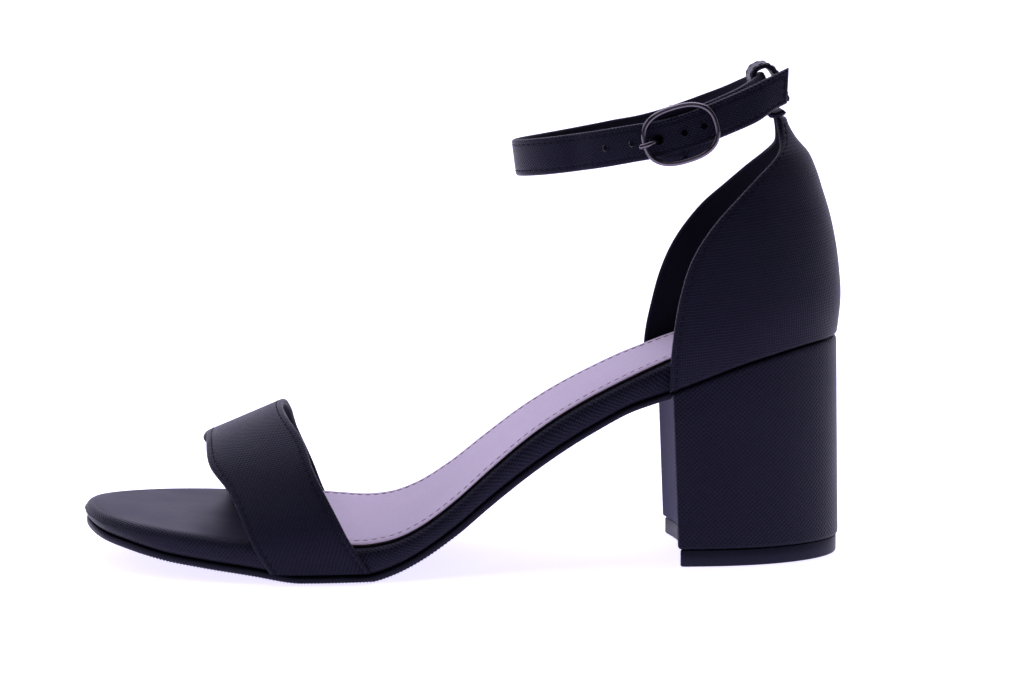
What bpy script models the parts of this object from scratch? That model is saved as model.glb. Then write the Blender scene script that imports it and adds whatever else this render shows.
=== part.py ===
"""Block heel sandal for the left foot: construction solids at real size.

Lengths are in millimetres here and become metres when a mesh is made.
The origin is the centre of the heel's face on the floor.  The toe points to -X, the back of the
heel to +X, the inner side of the foot to +Y, the outer side with the buckle to -Y, and +Z is up.
"""
import bpy
import bmesh
import numpy as np

MM = 0.001
GAP = 0.3
WELD = 0.02 * MM

# Sole
OUTSOLE_THICK = 2.2
OUTSOLE_SKIVED = 1.8
OUTSOLE_END_X = -28.2
OUTSOLE_INSET = 0.4
INSOLE_THICK = 1.4
INSOLE_INSET = 1.0
INSOLE_FRONT_X = -149.0
INSOLE_BACK_INSET = 1.6
SEAT_CUP = 2.0
CUP_START_X = -50.0
CUP_FULL_X = 0.0
CUP_HALF_WIDTH = 24.0
TOE_ROW_X = -190.0
HEEL_ROW_X = 12.0
END_BLEND = 0.22
STATIONS = (-182, -174, -165, -155, -146, -138, -130, -123, -117, -112, -107, -102, -97,
            -91, -84, -76, -68, -59, -50, -41, -32, -22, -11, 1)

# Heel
HEEL_BACK_TOP = 24.0
HEEL_BACK_LOW = 25.3
HEEL_HALF_WIDTH = 24.4
HEEL_HALF_WIDTH_LOW = 24.1
HEEL_WIDEST_X = -17.0
HEEL_POWER = 2.1
BREAST_TOP_X = -27.6
BREAST_LOW_X = -25.8
BREAST_HOLLOW = 4.2
HEEL_JOINT = 0.8
TOP_PIECE_HEIGHT = 5.0
TOP_PIECE_INSET = 0.5

# Uppers
WALL = 2.0
VAMP_WALL = 1.8
VAMP_BASE_Z = 8.0
VAMP_POWER = 2.15
VAMP_HEM_Z = 3.4
VAMP_INNER_START = 8.0
VAMP_INNER_FORWARD = 3.6
VAMP_INNER_FOOT_FORWARD = 6.7
VAMP_CROWN_FRONT = 36.7
VAMP_CROWN_BACK = 46.4
VAMP_CLEAR = 0.35
COUNTER_TOP_Z = 131.2
SEAT_BACK_X = 24.0
ROUND_START = -17.0
ROUND_LEAST = 14.0

# Ankle strap, as a band round a leaning oval
STRAP_THICK = 1.8
STRAP_TAIL_THICK = 1.0
STRAP_WIDTH = 10.9
STRAP_TIP_WIDTH = 10.3
RING_FRONT_X = -71.7
RING_BACK_X = 2.6
RING_HALF_WIDTH = 25.0
RING_SIDE_RISE = 0.055
TAIL_LENGTH = 9.0
TIP_TURN = 13.0
HOLE_RADIUS = 1.0
PRONG_HOLE_RADIUS = 1.5
HOLE_STATIONS_X = (-47.4, -40.0, -25.3, -19.8)
PRONG_HOLE_X = -32.6

# Buckle and its prong
BUCKLE_X = -26.5
BUCKLE_HALF_LENGTH = 10.6
BUCKLE_HALF_HEIGHT = 7.8
BUCKLE_POWER = 2.5
BUCKLE_RIM_WIDTH = 1.5
BUCKLE_RIM_DEPTH = 1.6
BAR_RADIUS = 0.65
PRONG_RADIUS = 0.75

# Back loop
LOOP_WALL = 1.5
LOOP_HALF_WIDTH = 6.3
LOOP_HALF_DEPTH = 3.92
LOOP_HALF_HEIGHT = 7.5
LOOP_LEAN_DEG = 23.0
LOOP_CENTRE = (2.61, 138.99)


class Table:
    """Rows of named columns; at() reads one column smoothly between the rows."""

    def __init__(self, names, *rows):
        self.columns = dict(zip(names.split(), np.array(rows, float).T))
        self.key = self.columns[names.split()[0]]

    def at(self, name, where):
        return through(self.key, self.columns[name], where)


def through(keys, values, where):
    """Cubic curve through points, with the slope at each point taken from its neighbours."""
    keys, values = np.asarray(keys, float), np.asarray(values, float)
    slopes = np.gradient(values, keys)
    where = np.clip(where, keys[0], keys[-1])
    i = np.clip(np.searchsorted(keys, where) - 1, 0, len(keys) - 2)
    step = keys[i + 1] - keys[i]
    t = (where - keys[i]) / step
    start = (1 + 2 * t) * (1 - t) ** 2 * values[i] + t * (1 - t) ** 2 * step * slopes[i]
    end = t * t * (3 - 2 * t) * values[i + 1] + t * t * (t - 1) * step * slopes[i + 1]
    return start + end


# Plan of the platform in front of the heel: half widths to the outer and the inner side.
PLAN = Table(
    "x outer inner",
    (-199.3, 6.5, 14.0),
    (-195.6, 14.0, 19.4),
    (-187.0, 23.0, 26.8),
    (-177.0, 29.3, 32.4),
    (-165.0, 34.2, 36.4),
    (-150.0, 38.0, 39.0),
    (-136.0, 39.7, 39.2),
    (-122.0, 39.4, 37.0),
    (-108.0, 37.4, 33.2),
    (-94.0, 33.6, 29.6),
    (-80.0, 29.5, 26.6),
    (-66.0, 26.3, 24.5),
    (-52.0, 24.2, 23.4),
    (-40.0, 23.2, 22.8),
    (-30.0, 21.9, 21.7),
    (-22.0, 21.8, 21.8),
)
TOE_TIP = (-201.3, 4.0)

# Side view at the middle of the sole: underside and top of the platform.
SIDE = Table(
    "x belly bed",
    (-202.0, 13.0, 17.0),
    (-195.0, 11.2, 16.2),
    (-186.0, 9.6, 15.3),
    (-177.0, 7.8, 14.5),
    (-165.0, 6.3, 13.5),
    (-150.0, 4.5, 12.2),
    (-138.0, 2.6, 11.2),
    (-126.0, 2.5, 10.4),
    (-115.0, 2.6, 10.4),
    (-108.0, 4.9, 11.8),
    (-101.0, 8.4, 14.9),
    (-91.0, 15.0, 21.7),
    (-81.0, 22.8, 30.0),
    (-70.0, 30.8, 38.7),
    (-60.0, 37.3, 45.3),
    (-49.0, 43.6, 51.3),
    (-40.0, 48.0, 55.5),
    (-32.0, 50.3, 58.7),
    (-28.0, 51.4, 60.2),
    (-20.0, 53.9, 62.7),
    (-10.0, 57.2, 65.8),
    (2.0, 60.9, 68.6),
    (13.0, 64.0, 70.6),
    (25.0, 66.4, 72.0),
)

# Vamp strap edges in side view, by share of the height from the sole to the crown.
VAMP_EDGES = Table(
    "share front back",
    (0.00, -144.8, -115.8),
    (0.08, -146.6, -118.2),
    (0.20, -149.1, -121.4),
    (0.40, -152.1, -125.8),
    (0.70, -157.5, -132.6),
    (0.86, -162.8, -135.7),
    (1.00, -164.5, -141.8),
)
VAMP_HALF_WIDTHS = {"outer": 40.1, "inner": 39.6}
VAMP_CROWN_Y = 4.0

# Heel counter: the back edge, the half width and the two front edges, by height.
COUNTER_BACK = Table(
    "z x half",
    (64.0, 23.7, 24.3),
    (70.0, 24.5, 25.0),
    (77.0, 25.1, 25.4),
    (86.0, 24.5, 25.3),
    (95.0, 23.2, 24.8),
    (103.0, 21.4, 24.0),
    (110.0, 19.2, 22.8),
    (116.0, 17.2, 21.2),
    (121.0, 14.8, 19.0),
    (125.0, 11.3, 14.6),
    (129.0, 8.9, 10.6),
    (134.0, 7.6, 8.6),
)
COUNTER_FRONT = Table(
    "z outer inner",
    (48.0, -28.4, -31.6),
    (62.7, -28.0, -31.2),
    (72.8, -26.9, -29.2),
    (82.4, -25.0, -26.6),
    (90.0, -22.6, -23.4),
    (97.0, -18.8, -19.0),
    (103.5, -13.8, -13.6),
    (109.5, -8.0, -7.0),
    (115.0, -2.4, -1.2),
    (119.5, 2.5, 3.6),
    (123.5, 5.6, 6.3),
    (128.0, 5.8, 6.2),
    (134.0, 4.8, 4.8),
)

# Middle of the ankle strap's band by station, and the free end's way past the buckle in plan.
STRAP_RISE = Table(
    "x z",
    (-74.0, 119.0),
    (-62.0, 120.5),
    (-47.0, 122.9),
    (-40.0, 124.2),
    (-32.0, 125.6),
    (-25.0, 127.5),
    (-19.0, 129.6),
    (-13.0, 131.9),
    (-6.0, 134.8),
    (2.0, 138.9),
    (7.0, 141.2),
)
FREE_END = Table(
    "x y",
    (-56.0, -21.5),
    (-50.0, -24.5),
    (-44.0, -27.2),
    (-36.0, -29.5),
    (-26.2, -30.6),
    (-14.0, -29.4),
    (-4.0, -26.4),
    (5.4, -22.2),
)
FREE_START_X = -50.0
TIP_X = 5.4


def smoothstep(t):
    t = np.clip(t, 0.0, 1.0)
    return t * t * (3 - 2 * t)


def cup(x, y):
    """Rise of the seat towards its sides, where the heel of the foot lies."""
    share = smoothstep((x - CUP_START_X) / (CUP_FULL_X - CUP_START_X))
    return SEAT_CUP * share * (y / CUP_HALF_WIDTH) ** 2


def belly(x, y):
    """Height of the platform's underside."""
    return SIDE.at("belly", x) + cup(x, y)


def bed(x, y):
    """Height of the platform's top."""
    return SIDE.at("bed", x) + cup(x, y)


def ground(x, y):
    """Height of the outsole's underside, level where it meets the floor."""
    slope = np.gradient(SIDE.columns["belly"], SIDE.key)
    stretch = np.sqrt(1 + through(SIDE.key, slope, x) ** 2)
    thin = smoothstep((x + 100.0) / 60.0)
    thick = OUTSOLE_THICK + (OUTSOLE_SKIVED - OUTSOLE_THICK) * thin
    return np.maximum(belly(x, y) - GAP - thick * stretch, 0.0)


def under(x, y):
    """Height of whatever lies against the platform's underside."""
    return belly(x, y) - GAP


# Curves in plan

def closed_spline(points, count):
    """Smooth closed curve through points, count steps between each two of them."""
    points = np.asarray(points, float)
    ring = np.concatenate([points[-3:], points, points[:4]])
    keys = np.concatenate([[0], np.cumsum(np.linalg.norm(np.diff(ring, axis=0), axis=1))])
    steps = np.arange(count * len(points)) / count + 3
    where = np.interp(steps, np.arange(len(ring)), keys)
    return np.stack([through(keys, ring[:, k], where) for k in range(ring.shape[1])], -1)


def spread(curve, count, bend=25.0):
    """An open curve's points laid out again, closer together where it bends."""
    apart = np.linalg.norm(np.diff(curve, axis=0), axis=1) > 1e-6
    curve = curve[np.concatenate([[True], apart])]
    steps = np.diff(curve, axis=0)
    lengths = np.linalg.norm(steps, axis=1)
    turn = np.zeros(len(lengths))
    heads = np.arctan2(steps[:, 1], steps[:, 0])
    turn[1:] = np.abs((np.diff(heads) + np.pi) % (2 * np.pi) - np.pi)
    weight = np.concatenate([[0], np.cumsum(lengths + bend * turn)])
    where = np.linspace(0, weight[-1], count + 1)
    return np.stack([np.interp(where, weight, curve[:, k]) for k in range(curve.shape[1])], -1)


def heel_round(back, half_width, inset=0.0):
    """Outer half of the heel's round plan, from its widest place to the back."""
    angle = np.linspace(np.pi / 2, 0, 9)
    reach = back - inset - HEEL_WIDEST_X
    x = HEEL_WIDEST_X + reach * np.cos(angle) ** (2 / HEEL_POWER)
    y = -(half_width - inset) * np.sin(angle) ** (2 / HEEL_POWER)
    return np.stack([x, y], -1)


def platform_plan():
    """Closed outline of the platform: toe tip, outer side, back of the heel, inner side."""
    seat = heel_round(HEEL_BACK_TOP, HEEL_HALF_WIDTH, WALL + GAP + 0.3)
    outer = np.stack([PLAN.key, -PLAN.columns["outer"]], -1)
    inner = np.stack([PLAN.key, PLAN.columns["inner"]], -1)
    other_seat = seat[:-1][::-1] * (1, -1)
    return closed_spline(np.concatenate([[TOE_TIP], outer, seat, other_seat, inner[::-1]]), 12)


def four_sides(outline, front_x, back_x):
    """Front, outer, back and inner stretches of a closed outline, cut at two stations."""
    back = np.argmax(outline[:, 0])
    outer, inner = outline[:back + 1], outline[back:]
    front_tip = np.concatenate([inner[inner[:, 0] < front_x], outer[outer[:, 0] < front_x]])
    back_tip = np.concatenate([outer[outer[:, 0] > back_x], inner[inner[:, 0] > back_x]])
    side = outer[(outer[:, 0] >= front_x) & (outer[:, 0] <= back_x)]
    other = inner[(inner[:, 0] >= front_x) & (inner[:, 0] <= back_x)]
    outer_side = np.concatenate([front_tip[-1:], side, back_tip[:1]])
    inner_side = np.concatenate([back_tip[-1:], other, front_tip[:1]])
    return front_tip, outer_side, back_tip, inner_side


def loop_of(sides, across, along):
    """One closed loop of points from four stretches that follow one another."""
    counts = (across, along, across, along)
    return np.concatenate([spread(side, count)[:-1] for side, count in zip(sides, counts)])


def at_stations(side):
    """A long side's points at the shared stations, between its own two ends."""
    low, high = sorted((side[0, 0], side[-1, 0]))
    stations = np.array([x for x in STATIONS if low + 1.5 < x < high - 1.5], float)
    order = np.argsort(side[:, 0])
    points = np.column_stack([stations, np.interp(stations, side[order, 0], side[order, 1])])
    points = points if side[0, 0] < side[-1, 0] else points[::-1]
    return np.concatenate([side[:1], points, side[-1:]])


def sole_loop(sides, across):
    """The closed loop of a sole piece, and the number of steps along its long sides.

    All sole pieces share their stations, so that their flat facets lie side by side.
    """
    front, outer, back, inner = sides
    outer, inner = at_stations(outer), at_stations(inner)
    parts = (spread(front, across), outer, spread(back, across), inner)
    return np.concatenate([part[:-1] for part in parts]), len(outer) - 1


def inset_loop(loop, distance):
    """The loop moved inwards, square to its own line."""
    along = np.roll(loop, -1, axis=0) - np.roll(loop, 1, axis=0)
    inward = np.stack([-along[:, 1], along[:, 0]], -1) / np.linalg.norm(along, axis=1)[:, None]
    area = np.sum(loop[:, 0] * np.roll(loop[:, 1], -1) - loop[:, 1] * np.roll(loop[:, 0], -1))
    return loop + inward * distance * np.sign(area)


def filled(loop, across, along, reach=END_BLEND, power=2):
    """Grid of points that fills a loop of four sides, blended from its borders.

    reach is the share of the length over which the front's bow fades out.
    """
    front = loop[:across + 1]
    outer = loop[across:across + along + 1]
    back = loop[across + along:2 * across + along + 1][::-1]
    inner = np.concatenate([loop[2 * across + along:], loop[:1]])[::-1]
    u = np.linspace(0, 1, across + 1)[:, None]
    v = np.linspace(0, 1, along + 1)[:, None, None]
    front_bow = front - (1 - u) * front[0] - u * front[-1]
    back_bow = back - (1 - u) * back[0] - u * back[-1]
    grid = (1 - u) * inner[:, None] + u * outer[:, None]
    grid = grid + np.clip(1 - v / reach, 0, 1) ** power * front_bow
    return grid + np.clip(1 - (1 - v) / END_BLEND, 0, 1) ** 2 * back_bow


# Meshes

def material(name, colour, roughness, metallic=0.0):
    made = bpy.data.materials.new(name)
    made.use_nodes = True
    shader = made.node_tree.nodes["Principled BSDF"]
    shader.inputs["Base Color"].default_value = (*colour, 1.0)
    shader.inputs["Roughness"].default_value = roughness
    shader.inputs["Metallic"].default_value = metallic
    return made


def solid(name, patches, finish, sharp=0.7):
    """One closed object from patches: each is a grid of points with its four-cornered faces."""
    points, faces, start = [], [], 0
    for patch in patches:
        rows, columns = patch.shape[:2]
        index = start + np.arange(rows * columns).reshape(rows, columns)
        quads = np.stack([index[:-1, :-1], index[:-1, 1:], index[1:, 1:], index[1:, :-1]], -1)
        points.append(patch.reshape(-1, 3))
        faces.append(quads.reshape(-1, 4))
        start += rows * columns
    mesh = bpy.data.meshes.new(name)
    mesh.from_pydata(np.concatenate(points) * MM, [], np.concatenate(faces).tolist())
    work = bmesh.new()
    work.from_mesh(mesh)
    bmesh.ops.remove_doubles(work, verts=work.verts, dist=WELD)
    bmesh.ops.recalc_face_normals(work, faces=work.faces)
    if work.calc_volume(signed=True) < 0:
        bmesh.ops.reverse_faces(work, faces=work.faces)
    work.to_mesh(mesh)
    work.free()
    mesh.shade_smooth()
    mesh.set_sharp_from_angle(angle=sharp)
    made = bpy.data.objects.new(name, mesh)
    made.data.materials.append(finish)
    bpy.context.scene.collection.objects.link(made)
    return made


def slab(loop, across, along, layers):
    """Patches of a closed slab: a floor, walls through the layers, and a top.

    Each layer is an inset from the loop and a function that gives the height at a place.
    """
    rings = [(inset_loop(loop, inset), height) for inset, height in layers]
    walls = [np.column_stack([ring, height(ring[:, 0], ring[:, 1])]) for ring, height in rings]
    walls = np.array([np.concatenate([wall, wall[:1]]) for wall in walls])
    caps = []
    for ring, height in (rings[0], rings[-1]):
        grid = filled(ring, across, along)
        caps.append(np.dstack([grid, height(grid[..., 0], grid[..., 1])]))
    return [walls] + caps


def normals_of(grid):
    """Direction square to a grid of points at each of them."""
    across = np.gradient(grid, axis=1)
    along = np.gradient(grid, axis=0)
    normal = np.cross(along, across)
    return normal / np.linalg.norm(normal, axis=-1, keepdims=True)


def thickened(outer, inner):
    """Patches of a closed sheet from its two faces, with its four edges."""
    edges = [np.stack([outer[0], inner[0]]), np.stack([outer[-1], inner[-1]])]
    edges += [np.stack([outer[:, 0], inner[:, 0]]), np.stack([outer[:, -1], inner[:, -1]])]
    return [outer, inner] + edges


def swept(path, wide, thick, half_width, half_thick, closed=False):
    """Patches of a flat band or round rod: a rounded section carried along a path."""
    corner = 0.35
    section = np.array([(1, -1 + corner), (1, 1 - corner), (1 - corner, 1), (-1 + corner, 1),
                        (-1, 1 - corner), (-1, -1 + corner), (-1 + corner, -1), (1 - corner, -1)])
    bevel = np.minimum(half_width, half_thick)[:, None]
    reach = half_width[:, None] - (1 - np.abs(section[:, 0])) / corner * corner * bevel
    a = np.sign(section[:, 0]) * reach
    b = section[:, 1] * half_thick[:, None]
    rings = path[:, None] + a[..., None] * wide[:, None] + b[..., None] * thick[:, None]
    rings = np.concatenate([rings, rings[:, :1]], axis=1)
    if closed:
        return [np.concatenate([rings, rings[:1]])]
    caps = [np.stack([np.stack([r[2], r[3]]), np.stack([r[1], r[4]]), np.stack([r[0], r[5]]),
                      np.stack([r[7], r[6]])]) for r in (rings[0], rings[-1])]
    return [rings] + caps


def rod(path, radius, sides=8):
    """Patches of a round rod along a path, with flat ends."""
    along = np.gradient(path, axis=0)
    along /= np.linalg.norm(along, axis=1, keepdims=True)
    guide = np.array([0.23, 0.11, 0.97])
    first = np.cross(along, guide)
    first /= np.linalg.norm(first, axis=1, keepdims=True)
    second = np.cross(along, first)
    angle = np.linspace(0, 2 * np.pi, sides + 1)
    angle[-1] = 0.0
    turned = first[:, None] * np.cos(angle)[:, None] + second[:, None] * np.sin(angle)[:, None]
    rings = path[:, None] + radius * turned
    caps = [np.stack([np.repeat(middle[None], sides + 1, 0), edge])
            for middle, edge in ((path[0], rings[0]), (path[-1], rings[-1]))]
    return [rings] + caps


# Sole pieces

def build_platform(finish):
    across = 8
    loop, along = sole_loop(four_sides(platform_plan(), TOE_ROW_X, HEEL_ROW_X), across)
    layers = (
        (2.2, belly),
        (0.6, lambda x, y: belly(x, y) + 0.5),
        (0.0, lambda x, y: belly(x, y) + 1.9),
        (0.0, lambda x, y: bed(x, y) - 2.4),
        (0.8, lambda x, y: bed(x, y) - 0.7),
        (2.6, bed),
    )
    return solid("platform", slab(loop, across, along, layers), finish)


def breast_x(y, front):
    """Station of the heel's hollow front face at a distance y from the middle."""
    share = np.clip(np.abs(y) / HEEL_HALF_WIDTH, 0, 1)
    return front + BREAST_HOLLOW * (1 - share ** 2)


def build_outsole(finish):
    across = 8
    outline = inset_loop(platform_plan(), OUTSOLE_INSET)
    front, outer, back, inner = four_sides(outline, TOE_ROW_X, OUTSOLE_END_X)
    y = np.linspace(outer[-2, 1], inner[1, 1], 17)
    end = np.stack([breast_x(y, BREAST_TOP_X - HEEL_JOINT), y], -1)
    outer = np.concatenate([outer[:-1], end[:1]])
    inner = np.concatenate([end[-1:], inner[1:]])
    loop, along = sole_loop((front, outer, end, inner), across)
    layers = (
        (1.0, ground),
        (0.0, lambda x, y: ground(x, y) + 0.7),
        (0.0, lambda x, y: under(x, y) - 0.5),
        (0.6, under),
    )
    return solid("outsole", slab(loop, across, along, layers), finish)


def build_insole(finish):
    across = 8
    outline = inset_loop(platform_plan(), INSOLE_INSET)
    seat = smoothstep((outline[:, 0] + 40.0) / 20.0)[:, None]
    outline = outline + seat * (inset_loop(outline, INSOLE_BACK_INSET - INSOLE_INSET) - outline)
    front, outer, back, inner = four_sides(outline, INSOLE_FRONT_X, HEEL_ROW_X - 3.0)
    y = np.linspace(inner[-2, 1], outer[1, 1], 17)
    start = np.stack([np.full(len(y), INSOLE_FRONT_X), y], -1)
    outer = np.concatenate([start[-1:], outer[1:]])
    inner = np.concatenate([inner[:-1], start[:1]])
    loop, along = sole_loop((start, outer, back, inner), across)
    layers = (
        (2.6, lambda x, y: bed(x, y) + GAP),
        (1.7, lambda x, y: bed(x, y) + GAP + 0.1),
        (1.3, lambda x, y: bed(x, y) + GAP + 0.5),
        (1.6, lambda x, y: bed(x, y) + INSOLE_THICK - 0.3),
        (2.8, lambda x, y: bed(x, y) + INSOLE_THICK),
    )
    return solid("insole", slab(loop, across, along, layers), finish)


# Heel pieces

def heel_plan(share, inset, across, along):
    """Closed outline of the heel, from its foot (share 0) to its top (share 1)."""
    back = HEEL_BACK_LOW + (HEEL_BACK_TOP - HEEL_BACK_LOW) * share - inset
    half = HEEL_HALF_WIDTH_LOW + (HEEL_HALF_WIDTH - HEEL_HALF_WIDTH_LOW) * share - inset
    front = BREAST_LOW_X + (BREAST_TOP_X - BREAST_LOW_X) * share + inset
    y = np.linspace(half - 0.5, -half + 0.5, 17)
    breast = np.stack([breast_x(y, front), y], -1)
    corner = np.array([(front + 0.8, -half)])
    round_half = heel_round(back, half)
    outer = np.concatenate([breast[-1:], corner, round_half[:5]])
    inner = outer[::-1] * (1, -1)
    back_half = round_half[4:]
    behind = np.concatenate([back_half, back_half[:-1][::-1] * (1, -1)])
    return loop_of((breast, outer, behind, inner), across, along)


def build_heel(finish):
    across, along = 8, 10
    shares = (0.0, 0.02, 0.33, 0.66, 0.97, 1.0)
    insets = (0.6, 0.0, 0.0, 0.0, 0.0, 0.7)
    base = TOP_PIECE_HEIGHT + GAP
    rings = []
    for share, inset in zip(shares, insets):
        ring = heel_plan(share, inset, across, along)
        z = base + share * (under(ring[:, 0], ring[:, 1]) - base)
        rings.append(np.column_stack([ring, z]))
    walls = np.array([np.concatenate([ring, ring[:1]]) for ring in rings])
    foot = filled(rings[0][:, :2], across, along, 1.0, 1)
    foot = np.dstack([foot, np.full(foot.shape[:2], base)])
    top = filled(rings[-1][:, :2], across, along, 1.0, 1)
    top = np.dstack([top, under(top[..., 0], top[..., 1])])
    return solid("heel_block", [walls, foot, top], finish, sharp=0.5)


def build_top_piece(finish):
    across, along = 8, 10
    steps = ((2 * TOP_PIECE_INSET, 0.0), (TOP_PIECE_INSET, 0.6), (TOP_PIECE_INSET, TOP_PIECE_HEIGHT))
    rings = [heel_plan(0.0, inset, across, along) for inset, height in steps]
    heights = [height for inset, height in steps]
    walls = np.array([np.column_stack([ring, np.full(len(ring), height)])
                      for ring, height in zip(rings, heights)])
    walls = np.concatenate([walls, walls[:, :1]], axis=1)
    caps = []
    for k in (0, -1):
        grid = filled(rings[k], across, along, 1.0, 1)
        caps.append(np.dstack([grid, np.full(grid.shape[:2], heights[k])]))
    return solid("heel_top_piece", [walls] + caps, finish, sharp=0.5)


# Uppers

def vamp_face(out, around, across):
    """One face of the vamp strap: arches over the foot from its front edge to its back edge.

    out is the distance outside the strap's inner face.  Below the arch's base the sides run
    straight down the platform to the outsole, and everywhere the width follows the platform's.
    """
    angle = np.linspace(0, np.pi, around + 1)
    faces = []
    for share in np.linspace(0, 1, across + 1):
        crown = VAMP_CROWN_FRONT + (VAMP_CROWN_BACK - VAMP_CROWN_FRONT) * share - VAMP_WALL + out
        y, z = [], []
        for side, span in (("outer", angle[angle <= np.pi / 2]), ("inner", angle[angle > np.pi / 2])):
            centre = VAMP_CROWN_Y
            half = VAMP_HALF_WIDTHS[side] + (centre if side == "outer" else -centre)
            y.append(centre - half * np.sign(np.cos(span)) * np.abs(np.cos(span)) ** (2 / VAMP_POWER))
            z.append(VAMP_BASE_Z + (crown - VAMP_BASE_Z) * np.sin(span) ** (2 / VAMP_POWER))
        y, z = np.concatenate(y), np.concatenate(z)
        legs = np.array([VAMP_HEM_Z, (VAMP_HEM_Z + VAMP_BASE_Z) / 2])
        y = np.concatenate([np.full(2, y[0]), y, np.full(2, y[-1])])
        z = np.concatenate([legs, z, legs[::-1]])
        lift = (z - VAMP_HEM_Z) / (crown - VAMP_HEM_Z)
        front, back = VAMP_EDGES.at("front", lift), VAMP_EDGES.at("back", lift)
        inner_side = smoothstep((y - VAMP_CROWN_Y - VAMP_INNER_START) / 20.0)
        forward = (VAMP_INNER_FORWARD + VAMP_INNER_FOOT_FORWARD * (1 - lift)) * inner_side
        x = front + (back - front) * share - forward
        outer_half = PLAN.at("outer", x) + VAMP_CLEAR + out + VAMP_CROWN_Y
        inner_half = PLAN.at("inner", x) + VAMP_CLEAR + out - VAMP_CROWN_Y
        hug = np.where(y < VAMP_CROWN_Y, outer_half / (VAMP_HALF_WIDTHS["outer"] + VAMP_CROWN_Y),
                       inner_half / (VAMP_HALF_WIDTHS["inner"] - VAMP_CROWN_Y))
        y = VAMP_CROWN_Y + (y - VAMP_CROWN_Y) * hug
        faces.append(np.stack([x, y, z], -1))
    return np.array(faces)


def build_vamp(finish):
    inner = vamp_face(0.0, 24, 5)
    outer = vamp_face(VAMP_WALL, 24, 5)
    return solid("vamp_strap", thickened(outer, inner), finish, sharp=0.8)


def counter_face(rows, columns):
    """Outer face of the heel counter: level rounds behind the foot, slanting down to the seat."""
    seam = belly(SEAT_BACK_X, 0.0)
    levels = seam + (COUNTER_TOP_Z - seam) * np.linspace(0, 1, rows + 1)
    face = []
    for level in levels:
        slant = (COUNTER_TOP_Z - level) / (COUNTER_TOP_Z - seam)
        back = COUNTER_BACK.at("x", level)
        half = COUNTER_BACK.at("half", level)
        ends = []
        for side, sign in (("outer", -1), ("inner", 1)):
            x = -10.0
            for _ in range(12):
                z = level + slant * (belly(x, half) - seam)
                x = float(COUNTER_FRONT.at(side, z))
            ends.append((x, sign))
        widest = min(ROUND_START, back - ROUND_LEAST)
        halves = []
        for front, sign in ends:
            angle = np.linspace(np.pi / 2, 0, 60)
            x = widest + (back - widest) * np.cos(angle) ** (2 / HEEL_POWER)
            y = half * np.sin(angle) ** (2 / HEEL_POWER)
            straight = np.linspace(front, widest, 20)[:-1]
            if front < widest:
                x = np.concatenate([straight, x])
                y = np.concatenate([np.full(len(straight), half), y])
            keep = x > front
            x = np.concatenate([[front], x[keep]])
            y = np.concatenate([[half if front < widest else np.interp(front, x[1:], y[keep])], y[keep]])
            halves.append(np.column_stack([x, sign * y]))
        curve = np.concatenate([halves[0], halves[1][:-1][::-1]])
        places = spread(curve, columns, bend=12.0)
        z = level + slant * (belly(places[:, 0], places[:, 1]) - seam)
        face.append(np.column_stack([places, z]))
    return np.array(face)


def build_counter(finish):
    outer = counter_face(13, 26)
    normal = normals_of(outer)
    towards = np.array([-10.0, 0.0, 0.0]) - outer
    facing = np.sign(np.sum(normal * towards * (1, 1, 0), axis=-1, keepdims=True))
    normal = normal * facing
    normal[0, :, 2] = 0.0
    inner = outer + WALL * normal
    return solid("heel_counter", thickened(outer, inner), finish, sharp=0.8)


# Ankle strap, buckle and loop

def ring_place(angle):
    """Plan place on the strap's oval: angle 0 at the back, a quarter turn at the inner side."""
    middle = (RING_FRONT_X + RING_BACK_X) / 2
    half = (RING_BACK_X - RING_FRONT_X) / 2
    return np.stack([middle + half * np.cos(angle), RING_HALF_WIDTH * np.sin(angle)], -1)


def strap_height(x, y):
    return STRAP_RISE.at("z", x) - RING_SIDE_RISE * y


def bar_place():
    """Plan place of the buckle's bar, between the strap's two layers."""
    middle = (RING_FRONT_X + RING_BACK_X) / 2
    half = (RING_BACK_X - RING_FRONT_X) / 2
    ring_y = -RING_HALF_WIDTH * np.sqrt(1 - ((BUCKLE_X - middle) / half) ** 2)
    return np.array([BUCKLE_X, ring_y - STRAP_THICK / 2 - GAP - BAR_RADIUS])


def strap_route():
    """Plan points of the strap from its folded end at the bar to its free tip, with thickness."""
    bar = bar_place()
    outside = BAR_RADIUS + GAP + STRAP_TAIL_THICK / 2
    inside = BAR_RADIUS + GAP + STRAP_THICK / 2
    tail = bar + np.array([(TAIL_LENGTH, 0.3), (5.0, -0.6), (2.0, 0.1 - outside)])
    turn = np.radians(np.array([-90.0, -125.0, -160.0, -200.0, -235.0]))
    reach = np.linspace(outside, inside, len(turn))
    fold = bar + reach[:, None] * np.stack([np.cos(turn), np.sin(turn)], -1)
    middle = (RING_FRONT_X + RING_BACK_X) / 2
    half = (RING_BACK_X - RING_FRONT_X) / 2
    start = -np.arccos((BUCKLE_X - middle) / half)
    leave = 2 * np.pi - np.arccos((FREE_START_X - 6.0 - middle) / half)
    ring = ring_place(np.linspace(start, leave, 50))
    x = np.linspace(FREE_START_X, TIP_X, 17)
    free = np.stack([x, FREE_END.at("y", x)], -1)
    route = np.concatenate([tail, fold, ring, free])
    thick = np.full(len(route), STRAP_THICK)
    thick[:len(tail)] = STRAP_TAIL_THICK
    thick[len(tail):len(tail) + len(fold)] = np.linspace(STRAP_TAIL_THICK, STRAP_THICK, len(fold))
    return route, thick, len(free)


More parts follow.
